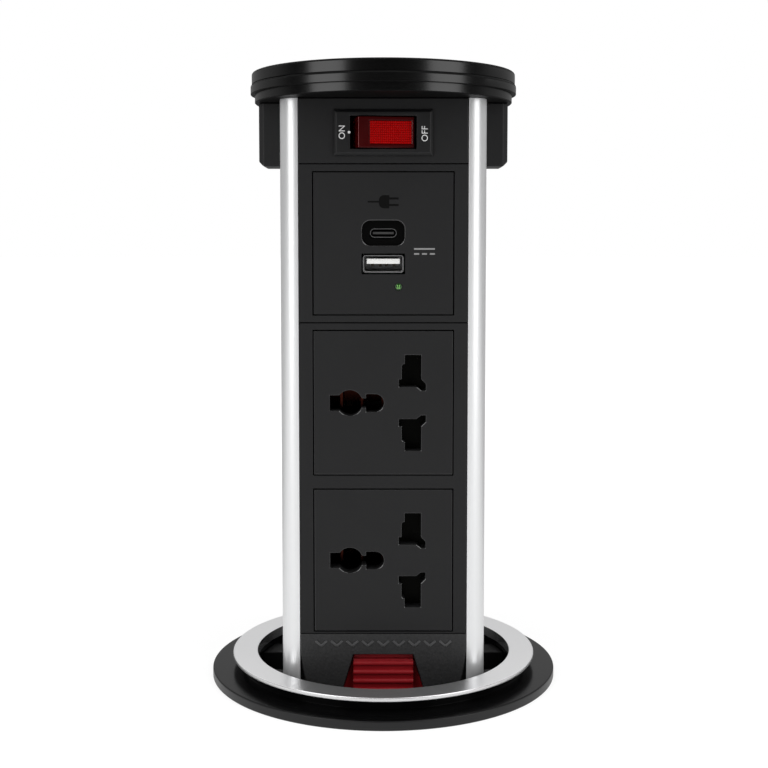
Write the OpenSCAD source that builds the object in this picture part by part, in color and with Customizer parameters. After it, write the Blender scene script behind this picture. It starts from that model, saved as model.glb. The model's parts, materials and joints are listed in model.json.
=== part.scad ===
// Pop-up desk socket. A tower with a switch, a USB module and two universal
// sockets slides up through a round collar that is clamped in a desk.
// Front is -Y, up is +Z, and z = 0 is the desk's surface. Drawn raised.

/* [Desk collar] */
// Width of the flange outside the trim ring
flange_w = 6.95; // [4.5:0.05:10]
// Thickness of the flange
flange_t = 3.1; // [2.6:0.1:3.6]
// Width of the trim ring
trim_w = 8.4; // [7:0.1:9.6]
// Room between the tower's back and the trim ring's opening
opening_gap = 3.9; // [3.5:0.1:6]
// Height of the trim ring's top face above the desk
trim_top = 7.8; // [7.4:0.1:8.6]
// Thickness of the trim ring
trim_t = 1.4; // [1:0.1:1.8]
// Wall of the neck that carries the trim ring
neck_t = 5; // [4:0.1:6]
// Wall of the threaded sleeve
sleeve_t = 3.4; // [3.2:0.1:4.4]
// Step from the trim ring's opening back to the well's wall
well_step = 0.2; // [0.1:0.05:0.4]
// Length of the sleeve below the desk
sleeve_len = 45; // [42:1:60]
// Depth of the guide's top face below the desk
guide_depth = 18; // [17:0.5:22]
// Height of the guide
guide_h = 17.7; // [14:0.1:19]
// Height of the guide's posts above the desk
post_top = 2.5; // [1:0.1:3]
// Width of the guide's posts along the shell
post_w = 10; // [7:0.5:12]
// Thickness of the ring that keeps the guide in the sleeve
keeper_t = 1.3; // [1:0.1:1.6]
// Width of the gasket under the flange
gasket_w = 3.8; // [3:0.1:5]
// Thickness of the gasket
gasket_t = 1.2; // [0.8:0.1:1.4]

/* [Clamp] */
// Thickness of the desk that the clamp is drawn for
desk_t = 25; // [18:1:28]
// Width of the clamp washer outside the sleeve
washer_w = 10; // [7:0.5:14]
// Thickness of the clamp washer
washer_t = 2; // [1.5:0.1:3]
// Width of the clamp nut outside the sleeve
nut_w = 9; // [7:0.5:12]
// Height of the clamp nut
nut_h = 10; // [8:0.5:12]
// Number of finger grips round the nut
grip_count = 12; // [6:1:16]
// Radius of each finger grip
grip_r = 5; // [3:0.5:6]
// Depth of each finger grip
grip_depth = 2.75; // [1.5:0.05:2.8]

/* [Tower shell] */
// Distance of the front face from the collar's axis
tower_front = 24; // [22:0.5:25]
// Distance of the round back's centre behind the axis
back_center = 6; // [4:0.5:6.4]
// Wall of the aluminium shell
shell_t = 2; // [1.6:0.1:2.4]
// Radius of the shell's front corners
corner_r = 6.15; // [5.4:0.05:7]
// Outside radius of the screw ports inside the shell
port_r = 3.4; // [3:0.1:3.8]
// Thickness of the foot plate that closes the shell
foot_t = 6; // [4:0.5:8]
// How far the foot plate stands out round the shell as a stop
stop_w = 2.2; // [1.6:0.1:2.4]

/* [Front panels] */
// Height of the seam above the release block
release_top = 19.5; // [18.5:0.1:20.5]
// Rim of the socket frame below the lower insert
socket_rim_low = 0.95; // [0.8:0.05:4]
// Bar of the socket frame between the inserts
socket_bar = 5; // [4:0.1:8]
// Rim of the socket frame above the upper insert
socket_rim_high = 2.65; // [2.2:0.05:5]
// Rim of the USB frame above and below its insert
usb_rim = 2.7; // [2.2:0.1:5]
// Height of the head block
head_h = 21; // [20:0.1:24]
// Depth of the front panels and the socket faces
panel_t = 5.5; // [5.2:0.1:6]
// Depth of the panels' side tongues behind the front face
tongue_depth = 3; // [2.9:0.05:3.2]
// Thickness of the side tongues
tongue_t = 2; // [1.6:0.1:2.1]
// Reach of the side tongues behind the shell's corners
tongue_w = 2.4; // [1.8:0.1:2.6]
// Width of the module inserts
insert_w = 45; // [44:0.1:45.6]
// Rim of the frames beside the inserts
insert_rim = 4.85; // [4.2:0.05:6]
// Height of the socket inserts
socket_insert_h = 46.9; // [46:0.1:47.4]
// Height of the USB insert
usb_insert_h = 45.6; // [44:0.1:46.4]

/* [Cap and head] */
// Height of the lowest cap disc
cap_base_h = 3; // [2.4:0.1:4]
// Height of the seal lip
seal_h = 3.15; // [2.6:0.05:4]
// Reach of the seal lip outside the trim ring's opening
seal_reach = 1.1; // [0.8:0.1:2]
// Radius of the seal lip's upper edge
seal_edge_r = 0.95; // [0.5:0.05:1.2]
// Height of the cap's top plate
cap_plate_h = 3.85; // [3:0.05:5]
// Step from the seal lip in to the cap's top plate
cap_inset = 0.4; // [0.2:0.1:1]
// Radius of the cap's upper edge
cap_edge_r = 0.8; // [0.4:0.1:1.2]
// Step from the trim ring's opening in to the spigot that centres seal and top plate
spigot_step = 4.4; // [3:0.1:5]
// Height of the spigot
spigot_h = 2; // [1.6:0.1:2.4]
// Gap between the head's side lugs and the trim ring's opening
lug_gap = 2; // [1.6:0.1:4]
// Width of the side lugs, front to back
lug_w = 16; // [12:0.5:17]
// Chamfer on the side lugs
lug_chamfer = 1.6; // [0.8:0.1:2.4]
// Thickness of the head block's inner web
web_t = 3; // [2:0.1:3.6]

/* [Switch] */
// Reach of the switch bezel round its housing
bezel_lip = 1.05; // [0.9:0.05:1.6]
// Thickness of the switch bezel in front of the panel
bezel_t = 1.5; // [1:0.1:2]
// Chamfer round the bezel
bezel_chamfer = 0.9; // [0.4:0.1:0.95]
// Wall beside the rocker's opening
rocker_side = 4.3; // [3:0.1:5]
// Wall above and below the rocker's opening
rocker_wall = 1.05; // [0.8:0.05:1.4]
// Distance of the switch's centre below the cap
switch_down = 11.1; // [10.4:0.1:12]
// Width of the switch housing behind the panel
switch_body_w = 29.8; // [29:0.1:30.2]
// Height of the switch housing
switch_body_h = 12.6; // [12.2:0.1:13]
// Depth of the bezel's collar behind the panel's front face
collar_depth = 12; // [11:0.5:13]
// Depth of the switch housing behind the panel's front face
switch_depth = 28; // [26:0.5:29]
// Tilt of the rocker from the middle to either end
rocker_tilt = 9; // [6:0.5:10]
// Distance of the rocker's pin behind the panel's front face
rocker_pin_depth = 5; // [4.6:0.1:6]
// Height of the rocker's face in front of its pin
rocker_rise = 6.6; // [6:0.1:7]
// Slope of the rocker's ends
rocker_lean = 1.6; // [1.4:0.1:3]
// Radius of the rocker's pin
rocker_pin_r = 1; // [0.8:0.1:1.4]
// Rim of the rocker to the left of its lens
lens_left = 3.7; // [1:0.05:4]
// Rim of the rocker to the right of its lens
lens_right = 0.9; // [0.5:0.05:2]
// Rim of the rocker above and below its lens
lens_rim = 1.35; // [0.6:0.05:2]

/* [USB module] */
// Depth of the USB insert's front wall
usb_wall_t = 3; // [2.4:0.1:3.6]
// Depth of the USB board behind the front face
board_depth = 18; // [16:0.5:20]
// Thickness of the USB board
board_t = 1.6; // [1:0.1:2]
// Width of the USB-C shell
usb_c_w = 8.94; // [8.9:0.01:9]
// Height of the USB-C shell
usb_c_h = 3.26; // [3.2:0.01:3.4]
// Height of the USB-C port above the insert's centre
usb_c_up = 3.4; // [2:0.1:6]
// Width of the recess round the USB-C port
recess_w = 13.8; // [12:0.1:15]
// Height of the recess round the USB-C port
recess_h = 8.1; // [7.4:0.1:9]
// Corner radius of the recess
recess_r = 2.8; // [1.5:0.1:3.4]
// Depth of the recess
recess_t = 1.2; // [0.8:0.1:1.6]
// Width of the USB-A shell
usb_a_w = 13.1; // [13:0.05:13.4]
// Height of the USB-A shell
usb_a_h = 5.7; // [5.6:0.05:6]
// Depth of the USB-A port's middle below the insert's centre
usb_a_down = 6.5; // [6.2:0.1:8]
// Corner radius of the USB-A shell
usb_a_corner = 0.9; // [0.6:0.1:1.2]
// Gap seen round the USB-A shell
usb_a_gap = 0.45; // [0.3:0.05:0.6]
// Sheet thickness of the port shells
port_sheet = 0.35; // [0.3:0.01:0.4]
// Diameter of the power light
led_d = 2.2; // [1.6:0.1:2.4]
// Distance of the power light to the right of the centre
led_x = 4.9; // [3:0.1:6]
// Distance of the power light below the insert's centre
led_down = 13.9; // [13:0.1:16]

/* [Socket modules] */
// Left edge of the pin slots
slot_x = 7; // [6.8:0.1:7.4]
// Width of the pin slots
slot_w = 5.3; // [5:0.1:5.6]
// Height of the pin slots
slot_h = 10.4; // [9.6:0.1:10.8]
// Distance of the pin slots from the centre line
slot_z = 5.25; // [5:0.05:5.5]
// Reach of the slot's step to the left
step_w = 1; // [0.6:0.1:1.2]
// Height of the slot's step above the slot's lower end
step_h = 7.5; // [6.5:0.1:8]
// Reach of the slot's foot to the left
foot_w = 1.93; // [1.5:0.01:2.1]
// Height of the slot's foot
foot_h = 2.45; // [2:0.05:3]
// Reach of the slanted blade's opening to the right of the slot
blade_w = 1.5; // [1:0.1:1.6]
// Height of the slanted blade's opening
blade_h = 3.65; // [3:0.05:4]
// Reach of the slanted blade's opening towards the centre line
blade_drop = 1.2; // [0.8:0.1:1.3]
// Centre of the round earth hole to the left of the middle
earth_x = 10.9; // [10.5:0.1:11.4]
// Diameter of the round earth hole
earth_d = 8.4; // [7.8:0.1:8.6]
// Left end of the flat earth slot
earth_slot_x = 17.4; // [16.5:0.1:17.8]
// Height of the flat earth slot
earth_slot_h = 5; // [4.4:0.1:5.6]
// Height of the neck between the earth holes
earth_neck_h = 3; // [2.4:0.1:3.6]
// Left edge of the D-shaped earth hole
dee_x = 5.6; // [5.2:0.1:6]
// Height of the D-shaped earth hole
dee_h = 5.8; // [5.4:0.1:6]
// Reach of the socket housing round its insert
housing_lip = 1.3; // [0.8:0.1:1.6]
// Depth of the housing's rear face behind the front face
housing_depth = 28; // [26:0.5:29]
// Thickness of the shutters
shutter_t = 2; // [1.6:0.1:2.4]
// Travel of the shutters
shutter_travel = 7.3; // [7:0.1:7.6]
// Thickness of the brass contacts
brass_t = 0.8; // [0.6:0.1:1]
// Width of the brass bars
bar_w = 3; // [2.4:0.1:3.4]
// Depth of the contacts' mouths behind the front face
mouth_depth = 11; // [10:0.5:12]
// Radius of the wires
wire_r = 1.3; // [1:0.05:1.4]

/* [Release catch] */
// Distance of the release opening below the block's upper edge
button_down = 7.1; // [6.6:0.1:8]
// Width of the release opening at its upper edge
button_top_w = 19.7; // [18:0.1:20]
// Height of the release opening
button_h = 18.4; // [17:0.1:19]
// Sideways slope of the opening's flanks
button_flare = 0.3; // [0.2:0.01:0.34]
// Gap beside the ribbed pad at its top
pad_side = 0.5; // [0.4:0.1:1.5]
// Distance of the pad below the top of the opening
pad_margin = 1.8; // [0.8:0.1:2]
// Depth of the button's flanks behind the front face
flank_depth = 2.6; // [2.2:0.1:2.9]
// Depth of the pad behind the front face, between the ribs
pad_depth = 1.2; // [1:0.1:1.6]
// Radius of the pad's ribs
rib_r = 0.8; // [0.5:0.05:0.9]
// Distance between the ribs
rib_pitch = 3; // [2.6:0.1:3.2]
// Number of ribs
rib_count = 5; // [3:1:5]
// Travel of the button
button_travel = 2.5; // [2:0.1:3]
// Radius of the release block's drawn-in sides
block_side_r = 55; // [45:1:70]
// Height of the release block's straight sides
block_straight = 2.5; // [1.5:0.1:5]
// Depth of the release block's lower end below the desk
block_low = 10.4; // [9.6:0.1:11]
// Width of the latch leaf
leaf_w = 12; // [8:0.5:12]
// Thickness of the latch leaf
leaf_t = 0.8; // [0.5:0.1:1]

/* [Cable end] */
// Distance of the cable gland's axis from the shell's back wall
gland_inset = 14; // [13.4:0.1:16]
// Diameter of the cable that the gland takes
cable_d = 8; // [6:0.1:9]
// Radius of the gland's thread
gland_r = 7.6; // [7:0.1:7.8]
// Wall of the gland's nut at its corners
gland_wall = 2.6; // [2.4:0.1:3]
// Height of the terminal block
terminal_h = 20; // [16:0.5:22]
// Height of the terminal behind the USB board
usb_terminal_h = 8; // [7:0.5:10]

/* [Clearances] */
// Gap between the tower and its guide
guide_gap = 0.35; // [0.3:0.05:0.4]
// Gap between pieces that pass each other
pass_gap = 0.3; // [0.25:0.05:0.35]
// Radial gap of a pin in its bore
pin_gap = 0.05; // [0.02:0.01:0.08]
// Gap between pieces that are fixed in each other
fixed_gap = 0.1; // [0.05:0.05:0.2]
// Gap seen round an insert
insert_gap = 0.35; // [0.25:0.05:0.45]
// Width of the seam between two front panels
seam = 0.3; // [0.2:0.05:0.4]

/* [Hidden] */
$fn = 96;
cut = 1;
half_panel = insert_w / 2 + insert_rim;
panel_w = 2 * half_panel;
half_w = half_panel + corner_r;
tower_w = 2 * half_w;
front_y = -tower_front;
inner_r = half_w - shell_t;
panel_back = front_y + panel_t;

// Heights, from the desk up to the cap
socket_frame_h = socket_rim_low + 2 * socket_insert_h + socket_bar + socket_rim_high;
usb_frame_h = usb_insert_h + 2 * usb_rim;
usb_z0 = release_top + socket_frame_h;
head_z0 = usb_z0 + usb_frame_h;
cap_z0 = head_z0 + head_h;
seal_z0 = cap_z0 + cap_base_h;
plate_z0 = seal_z0 + seal_h;
lower_socket_z = release_top + socket_rim_low + socket_insert_h / 2;
socket_z = [lower_socket_z, lower_socket_z + socket_insert_h + socket_bar];
usb_z = usb_z0 + usb_frame_h / 2;
switch_z = cap_z0 - switch_down;

// Depths below the desk
guide_z1 = -guide_depth;
guide_z0 = guide_z1 - guide_h;
shell_z0 = guide_z0 - pass_gap;
foot_z0 = shell_z0 - foot_t;

// Collar
trim_z0 = trim_top - trim_t;
opening_r = back_center + half_w + opening_gap;
well_r = opening_r + well_step;
sleeve_r = well_r + sleeve_t;
neck_r = well_r + neck_t;
trim_r = opening_r + trim_w;
flange_r = trim_r + flange_w;
washer_r = sleeve_r + washer_w;
nut_r = sleeve_r + nut_w;
guide_seat = 1.1;
bore_r = well_r + guide_seat;
keeper_w = 3;
keeper_groove = 0.8;
gasket_step = 3;
gasket_r = sleeve_r + gasket_step;
flange_edge = 0.5;
flange_screw_n = 4;
flange_screw_len = 14;
tip_gap = 1;
flange_shank_r = 0.9;
flange_head_r = 1.4;
skirt_t = 0.6;
skirt_h = 2;
flange_screw_r = opening_r + skirt_t + 2 * fixed_gap + flange_head_r;

// Cap and head
cap_base_r = opening_r - pass_gap;
seal_r = opening_r + seal_reach;
cap_plate_r = seal_r - cap_inset;
spigot_r = opening_r - spigot_step;
lug_reach = opening_r - lug_gap;

// Screw ports, as angles round the centre of the shell's back
port_angles = [20, 62, 118, 160];
port_bore_r = 1.5;
port_place_r = inner_r - port_r + shell_t / 4;
port_head_r = 2.9;
port_screw_len = 16;

// Grooves inside the shell's front corners
rib_t = 1.5;
rib_clear = 0.6;
rib_w = inner_r - half_panel - rib_clear;
tongue_y = front_y + tongue_depth;
groove_rib_y = tongue_y + tongue_t + pass_gap;

// Switch
bezel_w = switch_body_w + 2 * bezel_lip;
bezel_h = switch_body_h + 2 * bezel_lip;
rocker_gap_w = switch_body_w - 2 * rocker_side;
rocker_gap_h = switch_body_h - 2 * rocker_wall;
rocker_face_w = rocker_gap_w - 2 * rocker_lean;
rocker_y = front_y + rocker_pin_depth;
rocker_h = rocker_gap_h - 2 * pass_gap;
rocker_end_gap = 0.36;
rocker_end = rocker_gap_w / 2 - rocker_end_gap;
rocker_tail = 4;
rocker_tail_w = 12;
lens_t = 1;
lens_w = rocker_face_w - lens_left - lens_right;
lens_h = rocker_h - 2 * lens_rim;
lens_shift = (lens_left - lens_right) / 2;
tab_w = 6.3;
tab_t = 0.8;
tab_len = 7;
tab_inset = 3.3;
tab_x = switch_body_w / 2 - tab_inset;

// Floor at the back of the port shells, and the larger port's tongue with its four contacts
port_floor = 1;
tongue_a_h = 1.65;
tongue_a_tip = 0.9;
tongue_a_gap = 0.85;
tongue_a_w = usb_a_w - 2 * port_sheet - 2 * tongue_a_gap;
tongue_a_z = usb_z - usb_a_down + usb_a_h / 2 - port_sheet - tongue_a_gap - tongue_a_h;
contact_places = [-3.5, -1, 1, 3.5];
contact_w = 0.9;
contact_t = 0.25;
contact_bow = 0.6;
contact_bow_len = 3;
contact_tip = 0.4;

// Socket contacts
housing_w = insert_w + 2 * housing_lip;
housing_h = socket_insert_h + 2 * housing_lip;
bar_y = front_y + housing_depth + fixed_gap;
wire_gap = 1;
wire_y = bar_y + brass_t + wire_gap + wire_r;
barrel_wall = 0.6;
barrel_len = 6;
bar_gap = 0.3;
bar_space = 1;
bar_overlap = 1.4;
live_bar_x = slot_x + slot_w + bar_gap;
neutral_bar_x = slot_x - bar_w - bar_space;
earth_bar_x = -earth_slot_x - bar_w + bar_overlap;
spring_r = shutter_t / 2 + pass_gap / 2;
spring_post_x = 3.2;
spring_seat = 2.2;
blade_margin = 0.6;
shutter_y = front_y + panel_t + pass_gap;
pocket_floor = shutter_y + shutter_t + pass_gap;
blade_x0 = slot_x - foot_w - blade_margin;
blade_x1 = slot_x + slot_w + blade_w + blade_margin;
blade_cover = 0.2;
blade_z0 = slot_z - blade_drop - blade_cover;
blade_z1 = slot_z + slot_h + blade_margin;
chamber_margin = 0.5;
leaf_share = 0.7;
leaf_h = slot_h * leaf_share;
earth_leaf_h = earth_d * leaf_share;

// Release catch
button_top = release_top - button_down;
button_z0 = button_top - button_h;
button_low_w = button_top_w + 2 * button_flare * button_h;
keep_w = 1.4;
pad_w = button_top_w + 2 * button_flare * pad_margin - 2 * pad_side;
leaf_keep_t = 1.5;
leaf_y = tongue_y + tongue_t + pass_gap + leaf_keep_t + pass_gap;
leaf_margin = 1.2;
leaf_top = release_top - leaf_margin;
leaf_screw_x = 3.5;
leaf_screw_inset = 1.8;
leaf_screw_z = leaf_top - leaf_screw_inset;
leaf_screw_r = 1;
leaf_boss_r = 1.7;
nose_tip_h = 1;
nose_slope = 4;
nose_window = 0.8;
// The button's travel, which the leaf enlarges, just frees the nose from the guide
nose_reach = guide_gap + button_travel * (leaf_top - guide_z1) / (leaf_top - button_z0);

// Cable end
gland_y = back_center + inner_r - gland_inset;
hex_r = gland_r + gland_wall;
dome_h = 14;
hex_h = 5;
hex_step = 1;
gland_nut_h = 4.5;
terminal_w = 40;
terminal_gap = 0.5;
terminal_d = 2 * (gland_y - hex_r * cos(30) - terminal_gap - wire_y);
live_supply_x = -tab_x;
terminal_z1 = shell_z0 + terminal_h;
wire_in = 3.5;
supply_z = socket_z[0] - housing_h / 2;
neutral_top = socket_z[1] + slot_mid(-1) + leaf_h / 2;
usb_terminal_wall = 2;
usb_terminal_up = 4;
usb_terminal_z = usb_z0 + usb_terminal_up;

// A flat ring
module ring(r_in, r_out, h) {
    difference() {
        cylinder(r = r_out, h = h);
        translate([0, 0, -cut]) cylinder(r = r_in, h = h + 2 * cut);
    }
}

// A rectangle with round corners, centred
module round_rect(w, h, r) {
    square([w - 2 * r, h], center = true);
    square([w, h - 2 * r], center = true);
    for (x = [-1, 1], y = [-1, 1]) translate([x * (w / 2 - r), y * (h / 2 - r)]) circle(r);
}

// Stands a flat outline in X and Z up as a plate from y to y + depth
module stand(y, depth) {
    translate([0, y + depth, 0]) rotate([90, 0, 0]) linear_extrude(depth) children();
}

// The shell's outline in plan, grown or shrunk all round
module tower_outline(grow) {
    intersection() {
        translate([0, back_center]) circle(half_w + grow);
        translate([-tower_w, back_center - cut]) square([2 * tower_w, 2 * tower_w]);
    }
    translate([-half_w - grow, front_y + corner_r])
        square([tower_w + 2 * grow, back_center + tower_front - corner_r]);
    translate([-half_panel, front_y - grow]) square([panel_w, back_center + tower_front + grow]);
    for (side = [-1, 1]) translate([side * half_panel, front_y + corner_r]) circle(corner_r + grow);
}

// Places children on the shell's screw ports
module at_ports() {
    for (a = port_angles)
        translate([port_place_r * cos(a), back_center + port_place_r * sin(a), 0]) children();
}

// A countersunk screw with its head's top at z = 0, grown by a gap for its hole
module countersunk(shank_r, head_r, len, gap) {
    rotate_extrude() polygon([
        [0, 0], [head_r + gap, 0], [shank_r + gap, shank_r - head_r], [shank_r + gap, -len], [0, -len]
    ]);
}

// Places children round the collar at the flange's screws
module at_flange_screws() {
    for (i = [0:flange_screw_n - 1]) rotate([0, 0, 45 + i * 360 / flange_screw_n])
        translate([flange_screw_r, 0, trim_z0]) children();
}

module desk_flange() {
    color([0.13, 0.13, 0.14]) difference() {
        rotate_extrude() difference() {
            polygon([
                [well_r, 0], [flange_r, 0], [flange_r, flange_t - flange_edge],
                [flange_r - flange_edge, flange_t], [neck_r, flange_t],
                [neck_r, trim_z0], [well_r, trim_z0]
            ]);
            translate([gasket_r - fixed_gap, -cut]) square([gasket_w + 2 * fixed_gap, gasket_t + cut]);
            translate([well_r - cut, trim_z0 - skirt_h - fixed_gap])
                square([skirt_t + opening_r - well_r + fixed_gap + cut, skirt_h + fixed_gap + cut]);
        }
        at_flange_screws() countersunk(flange_shank_r, flange_head_r, flange_screw_len, fixed_gap);
    }
}

module trim_ring() {
    edge = 0.3;
    color([0.82, 0.82, 0.84]) rotate_extrude() polygon([
        [opening_r, trim_z0 - skirt_h], [opening_r + skirt_t, trim_z0 - skirt_h],
        [opening_r + skirt_t, trim_z0],
        [trim_r - edge, trim_z0], [trim_r, trim_z0 + edge], [trim_r, trim_top - edge],
        [trim_r - edge, trim_top], [opening_r + edge, trim_top], [opening_r, trim_top - edge]
    ]);
}

module desk_gasket() {
    color([0.2, 0.2, 0.2]) ring(gasket_r, gasket_r + gasket_w, gasket_t);
}

module threaded_sleeve() {
    color([0.12, 0.12, 0.13]) difference() {
        translate([0, 0, -sleeve_len]) ring(well_r, sleeve_r, sleeve_len);
        translate([0, 0, -sleeve_len - cut]) cylinder(r = bore_r, h = sleeve_len - guide_depth + cut);
        translate([0, 0, guide_z0 - keeper_t - fixed_gap])
            cylinder(r = bore_r + keeper_groove, h = keeper_t + fixed_gap);
        at_flange_screws() translate([0, 0, -flange_screw_len])
            cylinder(r = flange_shank_r + fixed_gap, h = flange_screw_len);
    }
}

module flange_screws() {
    color([0.6, 0.6, 0.62]) at_flange_screws()
        countersunk(flange_shank_r, flange_head_r, flange_screw_len - tip_gap, 0);
}

// The guide: a round block with the tower's outline through it, and four posts
// that stand up beside the shell's sides, clear of the head's side lugs
module guide_bush() {
    post_r = well_r - fixed_gap;
    post_in = half_w + guide_gap;
    lug_path = lug_w / 2 + 3 * pass_gap;
    color([0.16, 0.16, 0.17]) {
        difference() {
            translate([0, 0, guide_z0]) cylinder(r = bore_r - fixed_gap, h = guide_h);
            translate([0, 0, guide_z0 - cut]) linear_extrude(guide_h + 2 * cut) tower_outline(guide_gap);
        }
        for (x = [-1, 1], y = [-1, 1]) intersection() {
            translate([0, 0, guide_z1 - cut]) cylinder(r = post_r, h = guide_depth + post_top + cut);
            difference() {
                translate([x > 0 ? 0 : -post_r, y > 0 ? lug_path : -lug_path - post_w, guide_z1 - cut])
                    cube([post_r, post_w, guide_depth + post_top + cut]);
                translate([0, 0, guide_z1 - 2 * cut])
                    linear_extrude(guide_depth + post_top + 3 * cut) tower_outline(guide_gap);
            }
            translate([x * (post_in + post_r) / 2, 0, post_top - post_r]) rotate([90, 0, 0])
                cylinder(r = post_r, h = 2 * post_r, center = true);
        }
    }
}

// An open spring ring in the sleeve's groove, under the guide
module retaining_ring() {
    gap_w = 12;
    color([0.5, 0.5, 0.52]) translate([0, 0, guide_z0 - keeper_t]) difference() {
        ring(bore_r + keeper_groove - fixed_gap - keeper_w, bore_r + keeper_groove - fixed_gap, keeper_t);
        translate([-gap_w / 2, bore_r - keeper_w - cut, -cut])
            cube([gap_w, keeper_w + 4 * cut, keeper_t + 2 * cut]);
    }
}

module clamp_washer() {
    color([0.7, 0.7, 0.72]) translate([0, 0, -desk_t - washer_t])
        ring(sleeve_r + pass_gap, washer_r, washer_t);
}

module clamp_nut() {
    color([0.15, 0.15, 0.16]) translate([0, 0, -desk_t - washer_t - nut_h]) difference() {
        ring(sleeve_r + pass_gap, nut_r, nut_h);
        for (i = [0:grip_count - 1]) rotate([0, 0, i * 360 / grip_count])
            translate([nut_r + grip_r - grip_depth, 0, -cut]) cylinder(r = grip_r, h = nut_h + 2 * cut);
    }
}

module back_shell() {
    shell_h = cap_z0 - shell_z0;
    color([0.85, 0.86, 0.88]) translate([0, 0, shell_z0]) difference() {
        linear_extrude(shell_h) difference() {
            union() {
                difference() {
                    tower_outline(0);
                    tower_outline(-shell_t);
                }
                at_ports() circle(port_r);
                for (side = [-1, 1]) translate([side * (inner_r - rib_w / 2), groove_rib_y + rib_t / 2])
                    square([rib_w + shell_t / 2, rib_t], center = true);
            }
            translate([-half_panel, front_y - cut]) square([panel_w, shell_t + 2 * cut]);
            at_ports() circle(port_bore_r);
        }
        translate([-half_w - cut, -lug_w / 2 - fixed_gap, head_z0 - fixed_gap - shell_z0])
            cube([tower_w + 2 * cut, lug_w + 2 * fixed_gap, head_h + cut]);
    }
}

// A front panel of height h from z0, with tongues that slide in the shell's grooves
module panel_blank(z0, h, depth) {
    translate([0, 0, z0 + seam / 2]) linear_extrude(h - seam) {
        translate([-half_panel + fixed_gap, front_y]) square([panel_w - 2 * fixed_gap, depth]);
        translate([-half_panel - tongue_w, tongue_y]) square([panel_w + 2 * tongue_w, tongue_t]);
    }
}

module head_block() {
    color([0.12, 0.12, 0.13]) {
        difference() {
            panel_blank(head_z0, head_h, panel_t);
            translate([0, 0, switch_z]) stand(front_y - cut, panel_t + 2 * cut)
                square([switch_body_w + 2 * fixed_gap, switch_body_h + 2 * fixed_gap], center = true);
        }
        translate([0, 0, cap_z0 - seam / 2 - web_t]) linear_extrude(web_t) difference() {
            tower_outline(-shell_t - fixed_gap);
            translate([-half_w, front_y - cut])
                square([tower_w, tongue_depth + tongue_t + rib_t + 2 * pass_gap + cut]);
            at_ports() circle(port_r + fixed_gap);
        }
        translate([0, 0, cap_z0 - seam / 2 - web_t]) linear_extrude(web_t)
            translate([-half_panel + fixed_gap, panel_back - cut])
                square([panel_w - 2 * fixed_gap, 2 * cut + rib_t]);
        for (side = [-1, 1]) side_lug(side);
    }
}

// A lug that stands out through a slot in the shell's side
module side_lug(side) {
    lug_in = half_panel + cut;
    low = head_z0;
    high = cap_z0 - seam / 2;
    intersection() {
        stand(-lug_w / 2, lug_w) polygon([
            [side * lug_in, low], [side * (lug_reach - lug_chamfer), low],
            [side * lug_reach, low + lug_chamfer],
            [side * lug_reach, high], [side * lug_in, high]
        ]);
        translate([0, 0, low - cut]) linear_extrude(head_h + 2 * cut) polygon([
            [side * lug_in, -lug_w / 2], [side * (lug_reach - lug_chamfer), -lug_w / 2],
            [side * lug_reach, -lug_w / 2 + lug_chamfer], [side * lug_reach, lug_w / 2 - lug_chamfer],
            [side * (lug_reach - lug_chamfer), lug_w / 2], [side * lug_in, lug_w / 2]
        ]);
    }
}

// A disc with a round upper edge
module soft_disc(r, h, edge) {
    rotate_extrude() {
        square([r - edge, h]);
        square([r, h - edge]);
        translate([r - edge, h - edge]) circle(edge);
    }
}

module cap_base() {
    edge = 0.3;
    color([0.1, 0.1, 0.11]) difference() {
        union() {
            translate([0, 0, cap_z0]) rotate_extrude() polygon([
                [0, 0], [cap_base_r - edge, 0], [cap_base_r, edge],
                [cap_base_r, cap_base_h], [0, cap_base_h]
            ]);
            translate([0, 0, seal_z0 - cut]) cylinder(r = spigot_r, h = spigot_h + cut);
        }
        translate([0, 0, seal_z0 + spigot_h]) at_ports()
            countersunk(port_bore_r, port_head_r, port_screw_len, fixed_gap);
    }
}

module cap_seal() {
    color([0.07, 0.07, 0.07]) translate([0, 0, seal_z0]) difference() {
        soft_disc(seal_r, seal_h, seal_edge_r);
        translate([0, 0, -cut]) cylinder(r = spigot_r + fixed_gap, h = seal_h + 2 * cut);
    }
}

module cap_plate() {
    boss_h = seal_h - spigot_h - fixed_gap;
    color([0.09, 0.09, 0.1]) {
        translate([0, 0, plate_z0]) soft_disc(cap_plate_r, cap_plate_h, cap_edge_r);
        translate([0, 0, plate_z0 - boss_h]) cylinder(r = spigot_r, h = boss_h + cut);
    }
}

module cap_screws() {
    color([0.6, 0.6, 0.62]) translate([0, 0, seal_z0 + spigot_h]) at_ports()
        countersunk(port_bore_r - pin_gap, port_head_r, port_screw_len, 0);
}

module switch_bezel() {
    color([0.11, 0.11, 0.12]) translate([0, 0, switch_z]) difference() {
        union() {
            stand(front_y - bezel_t + bezel_chamfer, bezel_t - bezel_chamfer)
                square([bezel_w, bezel_h], center = true);
            intersection() {
                stand(front_y - bezel_t, bezel_t) square([bezel_w, bezel_h], center = true);
                bezel_ridge(bezel_w, bezel_h + 4 * bezel_t);
                rotate([0, 90, 0]) bezel_ridge(bezel_h, bezel_w + 4 * bezel_t);
            }
            stand(front_y, collar_depth) square([switch_body_w, switch_body_h], center = true);
        }
        stand(front_y - bezel_t - cut, bezel_t + collar_depth + 2 * cut)
            square([rocker_gap_w, rocker_gap_h], center = true);
        translate([0, rocker_y, 0]) cylinder(r = rocker_pin_r, h = switch_body_h + 2 * cut, center = true);
    }
}

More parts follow.
